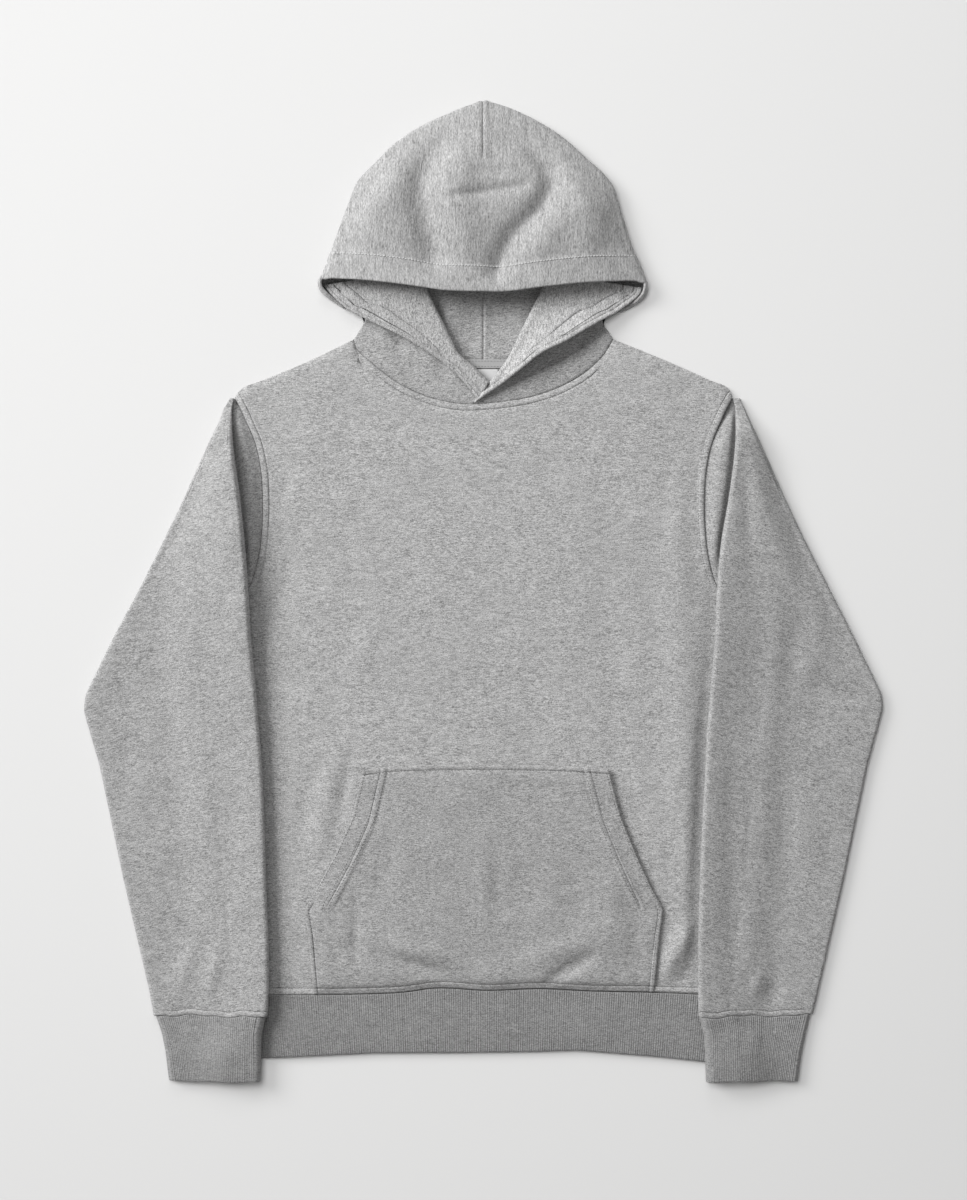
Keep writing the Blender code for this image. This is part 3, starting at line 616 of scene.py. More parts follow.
def mixed(tree, parts):
    """Half plus the sum of each noise's distance from a half times its weight."""
    total = None
    for noise, weight in parts:
        step = tree.nodes.new("ShaderNodeMath")
        step.operation = "MULTIPLY_ADD"
        tree.links.new(noise, step.inputs[0])
        step.inputs[1].default_value = weight
        if total is None:
            step.inputs[2].default_value = 0.5 - sum(each for _, each in parts) / 2
        else:
            tree.links.new(total, step.inputs[2])
        total = step.outputs[0]
    return total


def bump(tree, shader, height, depth):
    node = tree.nodes.new("ShaderNodeBump")
    node.inputs["Strength"].default_value = 1
    node.inputs["Distance"].default_value = depth * MM
    tree.links.new(height, node.inputs["Height"])
    tree.links.new(node.outputs["Normal"], shader.inputs["Normal"])


def coloured(tree, shader, share, dark, light):
    """Colours a shader between two colours, by a share."""
    blend = tree.nodes.new("ShaderNodeMix")
    blend.data_type = "RGBA"
    blend.inputs["A"].default_value = (*dark, 1)
    blend.inputs["B"].default_value = (*light, 1)
    tree.links.new(share, blend.inputs["Factor"])
    tree.links.new(blend.outputs["Result"], shader.inputs["Base Color"])


def heather(name, grey, angle, streak=STREAK, grain=GRAIN, contrast=1.0):
    """Brushed melange fleece: light and dark fibres in short streaks that run at an angle to X."""
    material, tree, shader = material_nodes(name, 0.95, 0.12)
    streaks = speckle(tree, streak, angle, 2)
    grains = speckle(tree, grain, angle, 1)
    mottle = speckle(tree, MOTTLE, angle, 1)
    share = mixed(tree, [(streaks, 1.25 * contrast), (grains, 1.7 * contrast), (mottle, 0.28 * contrast)])
    dark, light = ([grey * depth * side for side in WARM_GREY] for depth in (0.45, 1.55))
    coloured(tree, shader, share, dark, light)
    bump(tree, shader, mixed(tree, [(streaks, 0.8), (grains, 0.8)]), 0.5)
    return material


def plain_cloth(name, grey, size, depth, roughness=0.9, spread=0.25):
    """Close woven or twisted yarn of one grey."""
    material, tree, shader = material_nodes(name, roughness, 0.05)
    grain = speckle(tree, size, 0, 2)
    coloured(tree, shader, grain, [grey * (1 - spread)] * 3, [grey * (1 + spread)] * 3)
    bump(tree, shader, grain, depth)
    return material


# --- Body ----------------------------------------------------------------------------------------------

FRONT_STEP = 3.6
BACK_STEP = 12
NECK_OUT = 124
SWELL_OUT = 205
SWELL_FADE = 60.0
SWELL_MOST = 3.6
LOWEST_CREASE = -0.2
FRONT_RUMPLE = 0.45
SHOULDER_DROP = 1.4
HEM_WELT = 5.5
POCKET_WIDE = 340
POCKET_STEP = 2.6
POCKET_CORNER_Y = -303
POCKET_PUFF = 1.4


def body_edge(y):
    """How far out the armhole or the side seam lies at a height."""
    return np.where(np.asarray(y) > UNDERARM_Y, read(ARMHOLE, 1, y), read(SIDE_SEAM, 1, y))


def front_neck():
    return np.concatenate([trace(NECK_LEFT, 46)[:-1], trace(NECK_RIGHT, 46)])


def hem_y(x):
    return read(HEM_SEAM, 1, x)


def front_height(x, y, creases=()):
    """The middle of the front: the CAD's broad swells and finer creases, flat under the sleeves."""
    from_sleeve = smooth_step((SWELL_OUT - np.abs(x)) / 50)
    neck = NECK_LEFT + NECK_RIGHT[1:]
    below_neck = np.interp(x, column(neck, 0), column(neck, 1)) - y
    below_neck = np.where(np.abs(x) > NECK_OUT, SWELL_FADE, below_neck)
    above_hem = y - HEM_SEAM_Y
    fading = from_sleeve * smooth_step(below_neck / SWELL_FADE) * smooth_step(above_hem / 25)
    broad = np.clip(folds(FRONT_BROAD, x, y), 0, SWELL_MOST) * fading
    on_sleeve = np.clip(y, SLEEVE_END_Y, SLEEVE_TIP_Y)
    left, right = (read(SLEEVE_LAY, columns[0], on_sleeve) for _, columns, _ in SIDES.values())
    clear = smooth_step((np.where(x < 0, left, right) - np.abs(x)) / 14)
    at_ends = smooth_step(above_hem / 18)
    puff = PUFF * clear * at_ends * smooth_step(below_neck / 12)
    if not creases:
        return FRONT_Z + broad + puff
    pocket_top, pocket_bottom = POCKET[0][0], POCKET[-1][0]
    pocket_left, pocket_right = pocket_sides(np.clip(y, pocket_bottom, pocket_top))
    beside_pocket = smooth_step((pocket_left - x) / 16) + smooth_step((x - pocket_right) / 16)
    beside_pocket = np.minimum(beside_pocket + smooth_step((y - pocket_top - 4) / 60), 1)
    fine = folds(creases, x, y) * clear * beside_pocket * at_ends
    return FRONT_Z + np.maximum(broad + puff + fine * smooth_step(below_neck / 12), LOWEST_CREASE)


def panel_plan(neck, step):
    """The plan of the front or the back, with the distances of its lines from the sides and the ends."""
    shoulder = steps_along(np.array(SHOULDER_LEFT, float))[-1]
    places = lines(shoulder, step, end=False)
    top = np.concatenate([
        trace(SHOULDER_LEFT, places)[:-1],
        neck[:-1],
        trace(SHOULDER_RIGHT, 1 - places[::-1]),
    ])
    wide = 2 * HEM_SEAM_OUT
    rim = np.array(RIM)
    middle = np.linspace(rim[-1], wide - rim[-1], len(top) - 2 * len(rim) + 2)[1:-1]
    across = np.concatenate([rim, middle, wide - rim[::-1]])
    bottom_x = across - HEM_SEAM_OUT
    bottom = np.stack([bottom_x, hem_y(bottom_x)], axis=1)
    low, high = bottom[0, 1], SHOULDER_LEFT[0][1]
    v = lines(high - low, step)
    heights = low + (high - low) * v
    out = body_edge(heights)
    left = np.stack([-out, heights], axis=1)
    right = np.stack([out, heights], axis=1)
    left[0], right[0] = bottom[0], bottom[-1]
    left[-1], right[-1] = top[0], top[-1]
    plan = coons(bottom, top, left, right, across / wide, v)
    return plan[..., 0], plan[..., 1]


def armhole_path():
    heights = np.linspace(SHOULDER_LEFT[0][1], UNDERARM_Y, 60)
    return np.stack([body_edge(heights), heights], axis=1)


def front_cloth(material):
    neck = front_neck()
    x, y = panel_plan(neck, FRONT_STEP)
    to_neck = distance(neck, x, y)
    to_arm = distance(armhole_path(), np.abs(x), y)
    to_hem = distance(np.stack([x[0], y[0]], axis=1), x, y)
    to_shoulder = np.minimum(*(distance(trace(line, 20), x, y) for line in (SHOULDER_LEFT, SHOULDER_RIGHT)))
    z = front_height(x, y, FRONT_CREASES)
    quiet = smooth_step((204 - np.abs(x)) / 40) * smooth_step(to_neck / 30)
    clear_of_pocket = smooth_step((np.abs(x) - 150) / 20 + smooth_step((y + 160) / 15))
    z += FRONT_RUMPLE * (1 + rumple(x, y, 3, 60)) * quiet * clear_of_pocket
    neck_welt = welt(to_neck) * smooth_step((116 - np.abs(x)) / 10)
    arm_welt = welt(to_arm, rise=np.where(x < 0, 0.8, 0.9), groove=0.6)
    z += neck_welt + arm_welt + welt(to_hem, width=HEM_WELT)
    z += 0.5 * np.exp(-((to_arm - WELT - 1.6) / 0.8) ** 2)
    z -= SHOULDER_DROP * (1 - smooth_step(to_shoulder / 7))
    thick = rounded(np.minimum.reduce([to_neck, to_arm, to_hem, to_shoulder]), SEWN_RIM)
    grid = np.stack([x, y, z], axis=2)
    piece = shell("front_cloth", grid, FLEECE / 2 * thick, material)
    return sheet(piece, grid, ["front_panel"])


def back_cloth(material):
    x, y = panel_plan(trace(BACK_NECK, 40), BACK_STEP)
    grid = np.stack([x, y, np.full_like(x, BACK_Z)], axis=2)
    edge = np.concatenate([grid[0], grid[:, -1], grid[-1, ::-1], grid[::-1, 0]])[:, :2]
    moves_on = np.any(np.diff(edge, axis=0, append=edge[:1]) != 0, axis=1)
    thick = rounded(distance(edge[moves_on], x, y), SEWN_RIM)
    piece = shell("back_cloth", grid, FLEECE / 2 * thick, material)
    return sheet(piece, grid, ["back_panel"])


def pocket_sides(y):
    return read_straight(POCKET, 1, y), read_straight(POCKET, 2, y)


def pocket_plan():
    """The plan of the pocket. Its columns are close together beside its edges and its rows of stitches."""
    low, high = POCKET[-1][0], POCKET[0][0]
    heights = low + (high - low) * lines(high - low, POCKET_STEP)
    left, right = pocket_sides(heights)
    beside_stitches = np.linspace(POCKET_HEM - 6, POCKET_HEM + 7, 18)
    from_side = np.concatenate([RIM, [12.6], beside_stitches])
    inset = from_side[-1]
    middle = np.linspace(inset + POCKET_STEP, POCKET_WIDE - inset - POCKET_STEP, 108)
    across = np.concatenate([from_side, middle, POCKET_WIDE - from_side[::-1]]) / POCKET_WIDE
    x = left[:, None] + (right - left)[:, None] * across
    up = ((heights - low) / (high - low))[:, None]
    bottom = hem_y(x) + 2 * GAP
    top = np.interp(x[-1], column(POCKET_TOP, 0), column(POCKET_TOP, 1))
    return x, bottom + (top - bottom) * up


def pocket_cloth(material):
    x, y = pocket_plan()
    edges = [np.stack([x[row], y[row]], axis=-1) for row in ((..., 0), (..., -1), -1, 0)]
    to_left, to_right, to_top, to_bottom = (distance(edge, x, y) for edge in edges)
    to_side = np.minimum(to_left, to_right)
    opening = smooth_step((y - POCKET_CORNER_Y) / 6)
    z = front_height(x, y) + FLEECE + 2 * GAP
    loose = smooth_step(to_side / 16) * smooth_step(to_top / 14) * smooth_step(to_bottom / 10)
    lift = folds(POCKET_CREASES, x, y) + POCKET_PUFF + 0.7 * rumple(x, y, 8, 50)
    z += np.maximum(lift, LOWEST_CREASE) * loose
    doubled = smooth_step((POCKET_HEM + 4 - to_side) / 1.6)
    between_rows = np.exp(-((to_side - POCKET_HEM) / 2.4) ** 2)
    rows_of_stitches = np.exp(-((np.abs(to_side - POCKET_HEM) - POCKET_ROWS) / 0.9) ** 2)
    z += (0.5 * doubled + 0.6 * between_rows - 0.8 * rows_of_stitches) * opening
    z += np.where(x > 0, 1.4, 0.5) * (1 - smooth_step(to_side / 14)) * opening
    z += welt(to_side, width=4, rise=0.7) * (1 - opening)
    z += welt(to_top, width=4.5, rise=0.7)
    z += welt(to_bottom, width=HEM_WELT)
    thick = np.minimum(rounded(np.minimum(to_side, to_top), FREE_RIM), rounded(to_bottom, SEWN_RIM))
    pressed = 1 - smooth_step((to_bottom - 1) / 9)
    thick *= 1 - 0.6 * pressed
    z -= 1.5 * pressed
    grid = np.stack([x, y, z], axis=2)
    piece = shell("pocket_cloth", grid, FLEECE / 2 * thick, material)
    return sheet(piece, grid, ["pocket"])


# --- Sleeves and cuffs ---------------------------------------------------------------------------------

SLEEVE_STEP = 4.2
INNER_ARC = 13
STRIP_PLACES = np.linspace(0, 0.96, 26) ** 1.3
RETURN_PLACES = (0.3, 0.6, 0.8, 0.9, 0.96)
TOP_PLACES = np.linspace(0, 1, 62)[1:-1]
SLEEVE_WELT = 4.6
RIB_END_RIM = (2.2, 0.2)
CUFF_STEP = 3
CUFF_ARC = 24
HEM_STEP = 4
HEM_ARC = 12
HEM_DEEP = 60


def pinch(y):
    """How much of its full thickness a sleeve has at a height: its folds are pinched thin at the tip."""
    return PINCH + (1 - PINCH) * smooth_step((SLEEVE_TIP_Y - y) / PINCH_LENGTH)


def wide_share(fold, outer):
    """How far a sleeve is from lying on its hidden fold alone, as near its tip, to lying wide beside it."""
    return smooth_step((outer - fold) / 55)


def sleeve_top(out, fold, inner, outer):
    """Height of a sleeve's upper layer at a place across it, before its tip is pinched."""
    over_fold = SLEEVE_EDGE_Z + (SLEEVE_FOLD_Z - SLEEVE_EDGE_Z) * smooth_step((out - inner) / 50)
    wide_drop = (SLEEVE_TOP_Z - SLEEVE_FOLD_Z) * wide_share(fold, outer)
    return over_fold + wide_drop * smooth_step((out - fold) / 40)


def sleeve_section(edge, fold, inner, outer, thick):
    """One section across a sleeve, from the seam on the body round to the seam on the back.

    The cloth runs out from the armhole or side seam, turns back at the hidden fold, rolls over at the
    inner edge, runs across the top, rolls over at the outer edge and comes back along the floor.
    Returns its points (out, z) and how far each belongs to the loose top.
    """
    half = FLEECE / 2 * thick
    start = edge + GAP
    low_z, strip_z, return_z, edge_z = (z * thick for z in (BACK_Z, FRONT_Z, RETURN_Z, RETURN_EDGE_Z))
    under_radius = (return_z - strip_z) / 2
    inner_radius = (SLEEVE_EDGE_Z - RETURN_EDGE_Z) * thick / 2
    outer_z = thick * (SLEEVE_FOLD_Z + (SLEEVE_TOP_Z - SLEEVE_FOLD_Z) * wide_share(fold, outer))
    outer_radius = (outer_z - low_z) / 2
    turn = max(fold - under_radius - half, start + 0.6)
    inner_turn = inner + inner_radius + half
    outer_turn = outer - FOLD_FLAT * outer_radius - half

    strip = start + (turn - start) * STRIP_PLACES
    seen = max(inner - start, 1)
    at = (strip - start) / seen
    puff = STRIP_PUFF * thick * smooth_step((seen - 4) / 12)
    hump = puff * smooth_step(at / 0.6) * (1 - smooth_step((at - 0.72) / 0.33))
    section = list(zip(strip, strip_z + hump))
    section += arc((turn, strip_z + under_radius), under_radius, -90, 90, 7)
    for share in RETURN_PLACES:
        out = turn + (inner_turn - turn) * share
        section.append((out, return_z + (edge_z - return_z) * smooth_step(share)))
    section += arc((inner_turn, edge_z + inner_radius), inner_radius, 270, 90, INNER_ARC)
    first_top = len(section)
    for share in TOP_PLACES:
        out = inner_turn + (outer_turn - inner_turn) * share
        section.append((out, thick * sleeve_top(out, fold, inner, outer)))
    after_top = len(section)
    for out, z in arc((0, low_z + outer_radius), outer_radius, 90, -90, 15):
        section.append((outer_turn + FOLD_FLAT * out, z))
    section += [(out, low_z) for out in np.linspace(outer_turn, start, 9)[1:]]

    loose = np.zeros(len(section))
    loose[first_top - INNER_ARC:first_top] = smooth_step(np.linspace(0, 1, INNER_ARC))
    loose[first_top:after_top] = smooth_step((1 - np.linspace(0, 1, after_top - first_top)) / 0.12)
    return np.array(section), loose


def sleeve_cloth(name, material):
    side, (inner_column, outer_column), _ = SIDES[name]
    long = SLEEVE_TIP_Y - SLEEVE_END_Y
    heights = SLEEVE_TIP_Y - long * lines(long, SLEEVE_STEP)
    rows, loose, to_outer = [], [], []
    for y in heights:
        fold = float(read(SLEEVE_LAY, FOLD_COLUMN, y))
        inner = float(read(SLEEVE_LAY, inner_column, y))
        outer = float(read_straight(SLEEVE_LAY, outer_column, y))
        section, free = sleeve_section(float(body_edge(y)), fold, inner, outer, float(pinch(y)))
        rows.append(np.column_stack([side * section[:, 0], np.full(len(section), y), section[:, 1]]))
        loose.append(free)
        to_outer.append(outer - section[:, 0])
    grid, loose, to_outer = np.array(rows), np.array(loose), np.array(to_outer)
    x, y = grid[..., 0], grid[..., 1]
    to_cuff = y - SLEEVE_END_Y
    from_tip = smooth_step((SLEEVE_TIP_Y - y) / 60)
    lift = folds(SLEEVE_CREASES[name], x, y) + 0.5 * rumple(x, y, 21 + side, 55)
    lift = np.where(lift < 0, -DIP * (1 - np.exp(lift / DIP)), lift)
    grid[..., 2] += lift * loose * from_tip * smooth_step(to_cuff / 12) * smooth_step(to_outer / 30)
    grid[..., 2] += welt(to_cuff, width=SLEEVE_WELT, rise=0.9) * loose
    grid[..., 1] += seam_wave(x) * (1 - smooth_step(to_cuff / 30))
    to_seam = np.abs(x) - (body_edge(y) + GAP)
    thick = pinch(heights)[:, None] * rounded(to_cuff, SEWN_RIM) * rounded(np.abs(to_seam), SEWN_RIM)
    piece = shell(f"sleeve_{name}_cloth", grid, FLEECE / 2 * thick, material)
    return sheet(piece, grid, [f"sleeve_{name}"])


def seam_wave(x):
    """How far the seam between a sleeve and its cuff strays up and down as the rib gathers it."""
    return 0.9 * np.sin(x / 9.3) + 0.6 * np.sin(x / 4.1 + 1)


def rib_waves(columns, tops, fade, pitch, seed):
    """Ribs and channels in turn round a tube, no two ribs quite alike. They die away past its top."""
    along = np.arange(columns) / RIB_SAMPLES * pitch
    number = np.floor(along / pitch).astype(int)
    height = np.random.default_rng(seed).uniform(0.75, 1.2, number.max() + 1)[number]
    waves = RIB_RISE * height * (0.5 - 0.5 * np.cos(2 * math.pi * along / pitch))
    waves[tops:tops + fade] *= np.linspace(1, 0, fade)
    waves[tops + fade:] = 0
    return waves


def cuff_section(inner, outer, own, seam_row):
    """One section round a cuff, its top first. own is how far it is from the sleeve's form to its own."""
    inner_radius = (SLEEVE_EDGE_Z + (CUFF_EDGE_Z - SLEEVE_EDGE_Z) * own - CUFF_STEP_Z) / 2
    outer_radius = (SLEEVE_TOP_Z + (CUFF_TOP_Z - SLEEVE_TOP_Z) * own - CUFF_LOW_Z) / 2
    inner_turn = inner + inner_radius + RIB / 2
    outer_turn = outer - outer_radius - RIB / 2
    top_out = np.linspace(inner_turn, outer_turn, RIB_SAMPLES * CUFF_RIBS + 1)
    at_seam = sleeve_top(top_out, *seam_row)
    own_top = CUFF_EDGE_Z + (CUFF_TOP_Z - CUFF_EDGE_Z) * smooth_step((top_out - HEM_CORNER_OUT) / 45)
    section = list(zip(top_out, at_seam + (own_top - at_seam) * own))
    section += arc((outer_turn, CUFF_LOW_Z + outer_radius), outer_radius, 90, -90, CUFF_ARC)[1:]
    section += [(out, CUFF_LOW_Z) for out in np.linspace(outer_turn, HEM_CORNER_OUT + 14, 8)[1:]]
    section += [(HEM_CORNER_OUT + 7, (CUFF_LOW_Z + CUFF_STEP_Z) / 2), (HEM_CORNER_OUT, CUFF_STEP_Z)]
    section += arc((inner_turn, CUFF_STEP_Z + inner_radius), inner_radius, 270, 90, 20)[:-1]
    return section


def cuff_knit(name, material):
    """A closed tube of rib knit. Its lower layer steps up over the corner of the hem rib."""
    side, sleeve_columns, (inner_column, outer_column) = SIDES[name]
    seam_row = [SLEEVE_LAY[-1][number] for number in (FOLD_COLUMN, *sleeve_columns)]
    high, low = CUFF_LAY[0][0], CUFF_END_Y
    heights = high - (high - low) * lines(high - low, CUFF_STEP)
    rows = []
    for y in heights:
        inner, outer = (float(read_straight(CUFF_LAY, number, y)) for number in (inner_column, outer_column))
        section = cuff_section(inner, outer, smooth_step((high - y) / CUFF_BLEND), seam_row)
        rows.append([(side * out, y, z) for out, z in section])
    grid = np.array(rows[::side])
    heights = heights[::side]
    x, y = grid[..., 0], grid[..., 1]
    tops = RIB_SAMPLES * CUFF_RIBS + 1
    waves = rib_waves(grid.shape[1], tops, CUFF_ARC - 1, CUFF_RIB_PITCH, 31 + side)
    from_end = heights - low
    from_seam = high - heights
    ends = rounded(from_end, RIB_END_RIM)[:, None] * rounded(from_seam, SEWN_RIM)[:, None]
    y += seam_wave(x) * (1 - smooth_step(from_seam / 30))[:, None]
    y += 0.5 * np.sin(x / 6.1) * (1 - smooth_step(from_end / 12))[:, None]
    bow = np.sin(math.pi * np.clip(from_end / (high - low), 0, 1))[:, None]
    belly = 1.3 * bow * (1 + 0.5 * rumple(x, y * 0.6, 51 + side, 26))
    top = np.zeros(grid.shape[1])
    top[:tops] = np.sin(math.pi * np.linspace(0, 1, tops))
    raised = (waves * (1 - 0.35 * bow) + belly * top) * ends
    piece = shell(f"cuff_{name}_knit", grid, RIB / 2 * ends, material, closed=True, raised=raised)
    return sheet(piece, grid, [f"cuff_{name}"], closed=True)


def hem_knit(material):
    """A closed band of rib knit, folded at both sides. Its upper layer comes first in each section."""
    low_z = RIB / 2
    high_z = low_z + RIB + GAP
    radius = (high_z - low_z) / 2
    ribs = round(2 * HEM_SEAM_OUT / HEM_RIB_PITCH)
    tops = RIB_SAMPLES * ribs + 1
    shares = lines(HEM_DEEP, HEM_STEP)
    rows = []
    for share in shares:
        turn = HEM_SEAM_OUT + (HEM_EDGE_OUT - HEM_SEAM_OUT) * share - RIB / 2 - radius
        section = [(out, high_z) for out in np.linspace(-turn, turn, tops)]
        section += arc((turn, low_z + radius), radius, 90, -90, HEM_ARC)[1:]
        section += [(out, low_z) for out in np.linspace(turn, -turn, 42)[1:-1]]
        section += arc((-turn, low_z + radius), radius, 270, 90, HEM_ARC)[:-1]
        x, z = np.array(section).T
        seam_y = hem_y(np.clip(x, -HEM_SEAM_OUT, HEM_SEAM_OUT)) - GAP
        edge_y = np.interp(x, column(HEM_EDGE, 0), column(HEM_EDGE, 1))
        rows.append(np.stack([x, seam_y + (edge_y - seam_y) * share, z], axis=1))
    grid = np.array(rows)
    waves = rib_waves(grid.shape[1], tops, HEM_ARC - 1, HEM_RIB_PITCH, 41)
    ends = (rounded(shares * HEM_DEEP, SEWN_RIM) * rounded((1 - shares) * HEM_DEEP, RIB_END_RIM))[:, None]
    bow = np.sin(math.pi * shares)[:, None]
    belly = 0.8 * bow * (1 + 0.5 * rumple(grid[..., 0], grid[..., 1] * 0.2, 5, 45))
    belly[:, tops:] = 0
    raised = (waves * (1 - 0.45 * bow) + belly) * ends
    piece = shell("hem_rib_knit", grid, RIB / 2 * ends, material, closed=True, raised=raised)
    return sheet(piece, grid, ["hem_rib"], closed=True)


# --- Hood ----------------------------------------------------------------------------------------------

BACK_ROWS = 24
ROLL_ROWS = 16
CROWN_ROWS = 45
# Distances from the brim, and from the edge of a lapel, of the rows beside them
BRIM_LINES = np.array(RIM + [13.5, 16, 18.5, 20.5, 22, 23, 23.8, HOOD_HEM + 0.1, 25.4, 26.2, 27.2, 29, 32])
BESIDE_LAPEL_HEM = (-10.5, -8.5, -6.5, -4.5, -3, -1.8, -0.9, 0, 0.9, 1.8, 3, 5)
LAPEL_LINES = RIM[:-2] + [LAPEL_HEM + away for away in BESIDE_LAPEL_HEM]
COLLAR_PLACES = [0, 0.02, 0.05, *np.linspace(0.1, 1, 16)[:-1]]
LAPEL_ARC = 13
FAR = 200
# The tape and the label in the neck: their edges in x, then in y
NECK_TAPE = ((-34, 34), (213.5, 222))
NECK_LABEL = ((-13, 14), (196, 212.5))
LABEL_BOW = 0.4
TAPE_Z = FLEECE + GAP + TAPE / 2
# Each side of the hood: its neck seam from the centre front, its stations there and under the crown, and
# how wide the rolled strip along its edge is at the centre front, near the middle and at its other end
HOOD_SIDES = {
    "left": (trace(NECK_LEFT, 60)[::-1], ROLL_LEFT, UNDER_CROWN_LEFT, (7, 2.7, 2.2)),
    "right": (trace(NECK_RIGHT, 66), ROLL_RIGHT, UNDER_CROWN_RIGHT, (3.4, 3.6, 3.4)),
}
STRIP_MIDDLE = 0.45
STATIONS_BEYOND = 18


def crown_shares():
    """Places along the hood's outline: closer together at its corners and at its middle, at the seam."""
    corner = np.linspace(0, CORNER_SHARE + 0.05, 30)
    even = np.linspace(corner[-1], 1 - corner[-1], 131)[1:-1]
    beside_seam = np.array([0.5, 1, 1.5, 2.2, 3.2, 5]) / steps_along(np.array(HOOD_OUTLINE, float))[-1]
    seam = 0.5 + np.concatenate([-beside_seam[::-1], [0], beside_seam])
    return np.concatenate([corner, even[even < seam[0]], seam, even[even > seam[-1]], 1 - corner[::-1]])


def hood_brim(share, nearer, brim_z):
    """The path of the brim and its points. At the corners the cloth stands up along the outline instead."""
    standing = beside_at(HOOD_OUTLINE, share, EDGE_INSET)
    ends = beside_at(HOOD_OUTLINE, np.array([CORNER_SHARE, 1 - CORNER_SHARE]), EDGE_INSET)
    along = np.clip((share - CORNER_SHARE) / (1 - 2 * CORNER_SHARE), 0, 1)
    hanging = np.array(HOOD_BRIM) - np.column_stack([np.zeros(len(HOOD_BRIM)), BRIM_LEAN])
    path = np.vstack([ends[:1], hanging, ends[1:]])
    brim = np.where((nearer < CORNER_SHARE)[:, None], standing, trace(path, along))
    return path, np.column_stack([brim, brim_z])


def hood_back_rows(share, turn):
    """The rows of the hood's back, from its neck seam to the foot of the roll."""
    neck = trace(BACK_NECK, share, smooth=False)
    neck[:, 1] += GAP
    sides = []
    for side, corner in ((1, turn[0]), (-1, turn[-1])):
        path = trace(np.vstack([np.array(HOOD_BACK_SIDE) * (side, 1), corner]), BACK_ROWS)
        path[:-1, 1] += GAP
        sides.append(path)
    rows = []
    for row in coons(neck, turn, *sides, share, np.linspace(0, 1, BACK_ROWS)):
        x, y = row.T
        inside = smooth_step((y - 218) / 20) * smooth_step((330 - y) / 30)
        lift = np.maximum(folds(HOOD_BACK_CREASES, x, y), 0) * inside
        allowance = 1.2 * np.exp(-(x / 5) ** 2) * inside
        rows.append(np.column_stack([row, BACK_Z + lift + allowance]))
    return rows


def hood_roll_rows(turn, outward, radius, turned):
    """The rows round the roll of the hood's edge, and the direction that each of their points faces."""
    rows, facing = [], []
    for part in np.linspace(0, 1, ROLL_ROWS + 1)[1:]:
        angle = np.radians(turned * part)
        plan = turn + outward * (radius * np.sin(angle))[:, None]
        rows.append(np.column_stack([plan, BACK_Z + radius * (1 - np.cos(angle))]))
        facing.append(np.column_stack([outward * np.sin(angle)[:, None], -np.cos(angle)]))
    return rows, facing


def crown_top_rows(rolled, rolled_facing, brim, dome, places):
    """The rows from the end of the roll forward to the brim, and the direction that they face."""
    rows, facing = [], []
    for t in places:
        row = rolled + (brim - rolled) * t[:, None]
        row[:, 2] += 1.27 * dome * np.sin(math.pi * t) * np.sqrt(1 - t)
        rows.append(row)
        leaning = 1 - smooth_step(4 * t)
        way = rolled_facing * leaning[:, None] + [0, 0, 1] * (1 - leaning)[:, None]
        facing.append(way / np.linalg.norm(way, axis=1, keepdims=True))
    return rows, facing


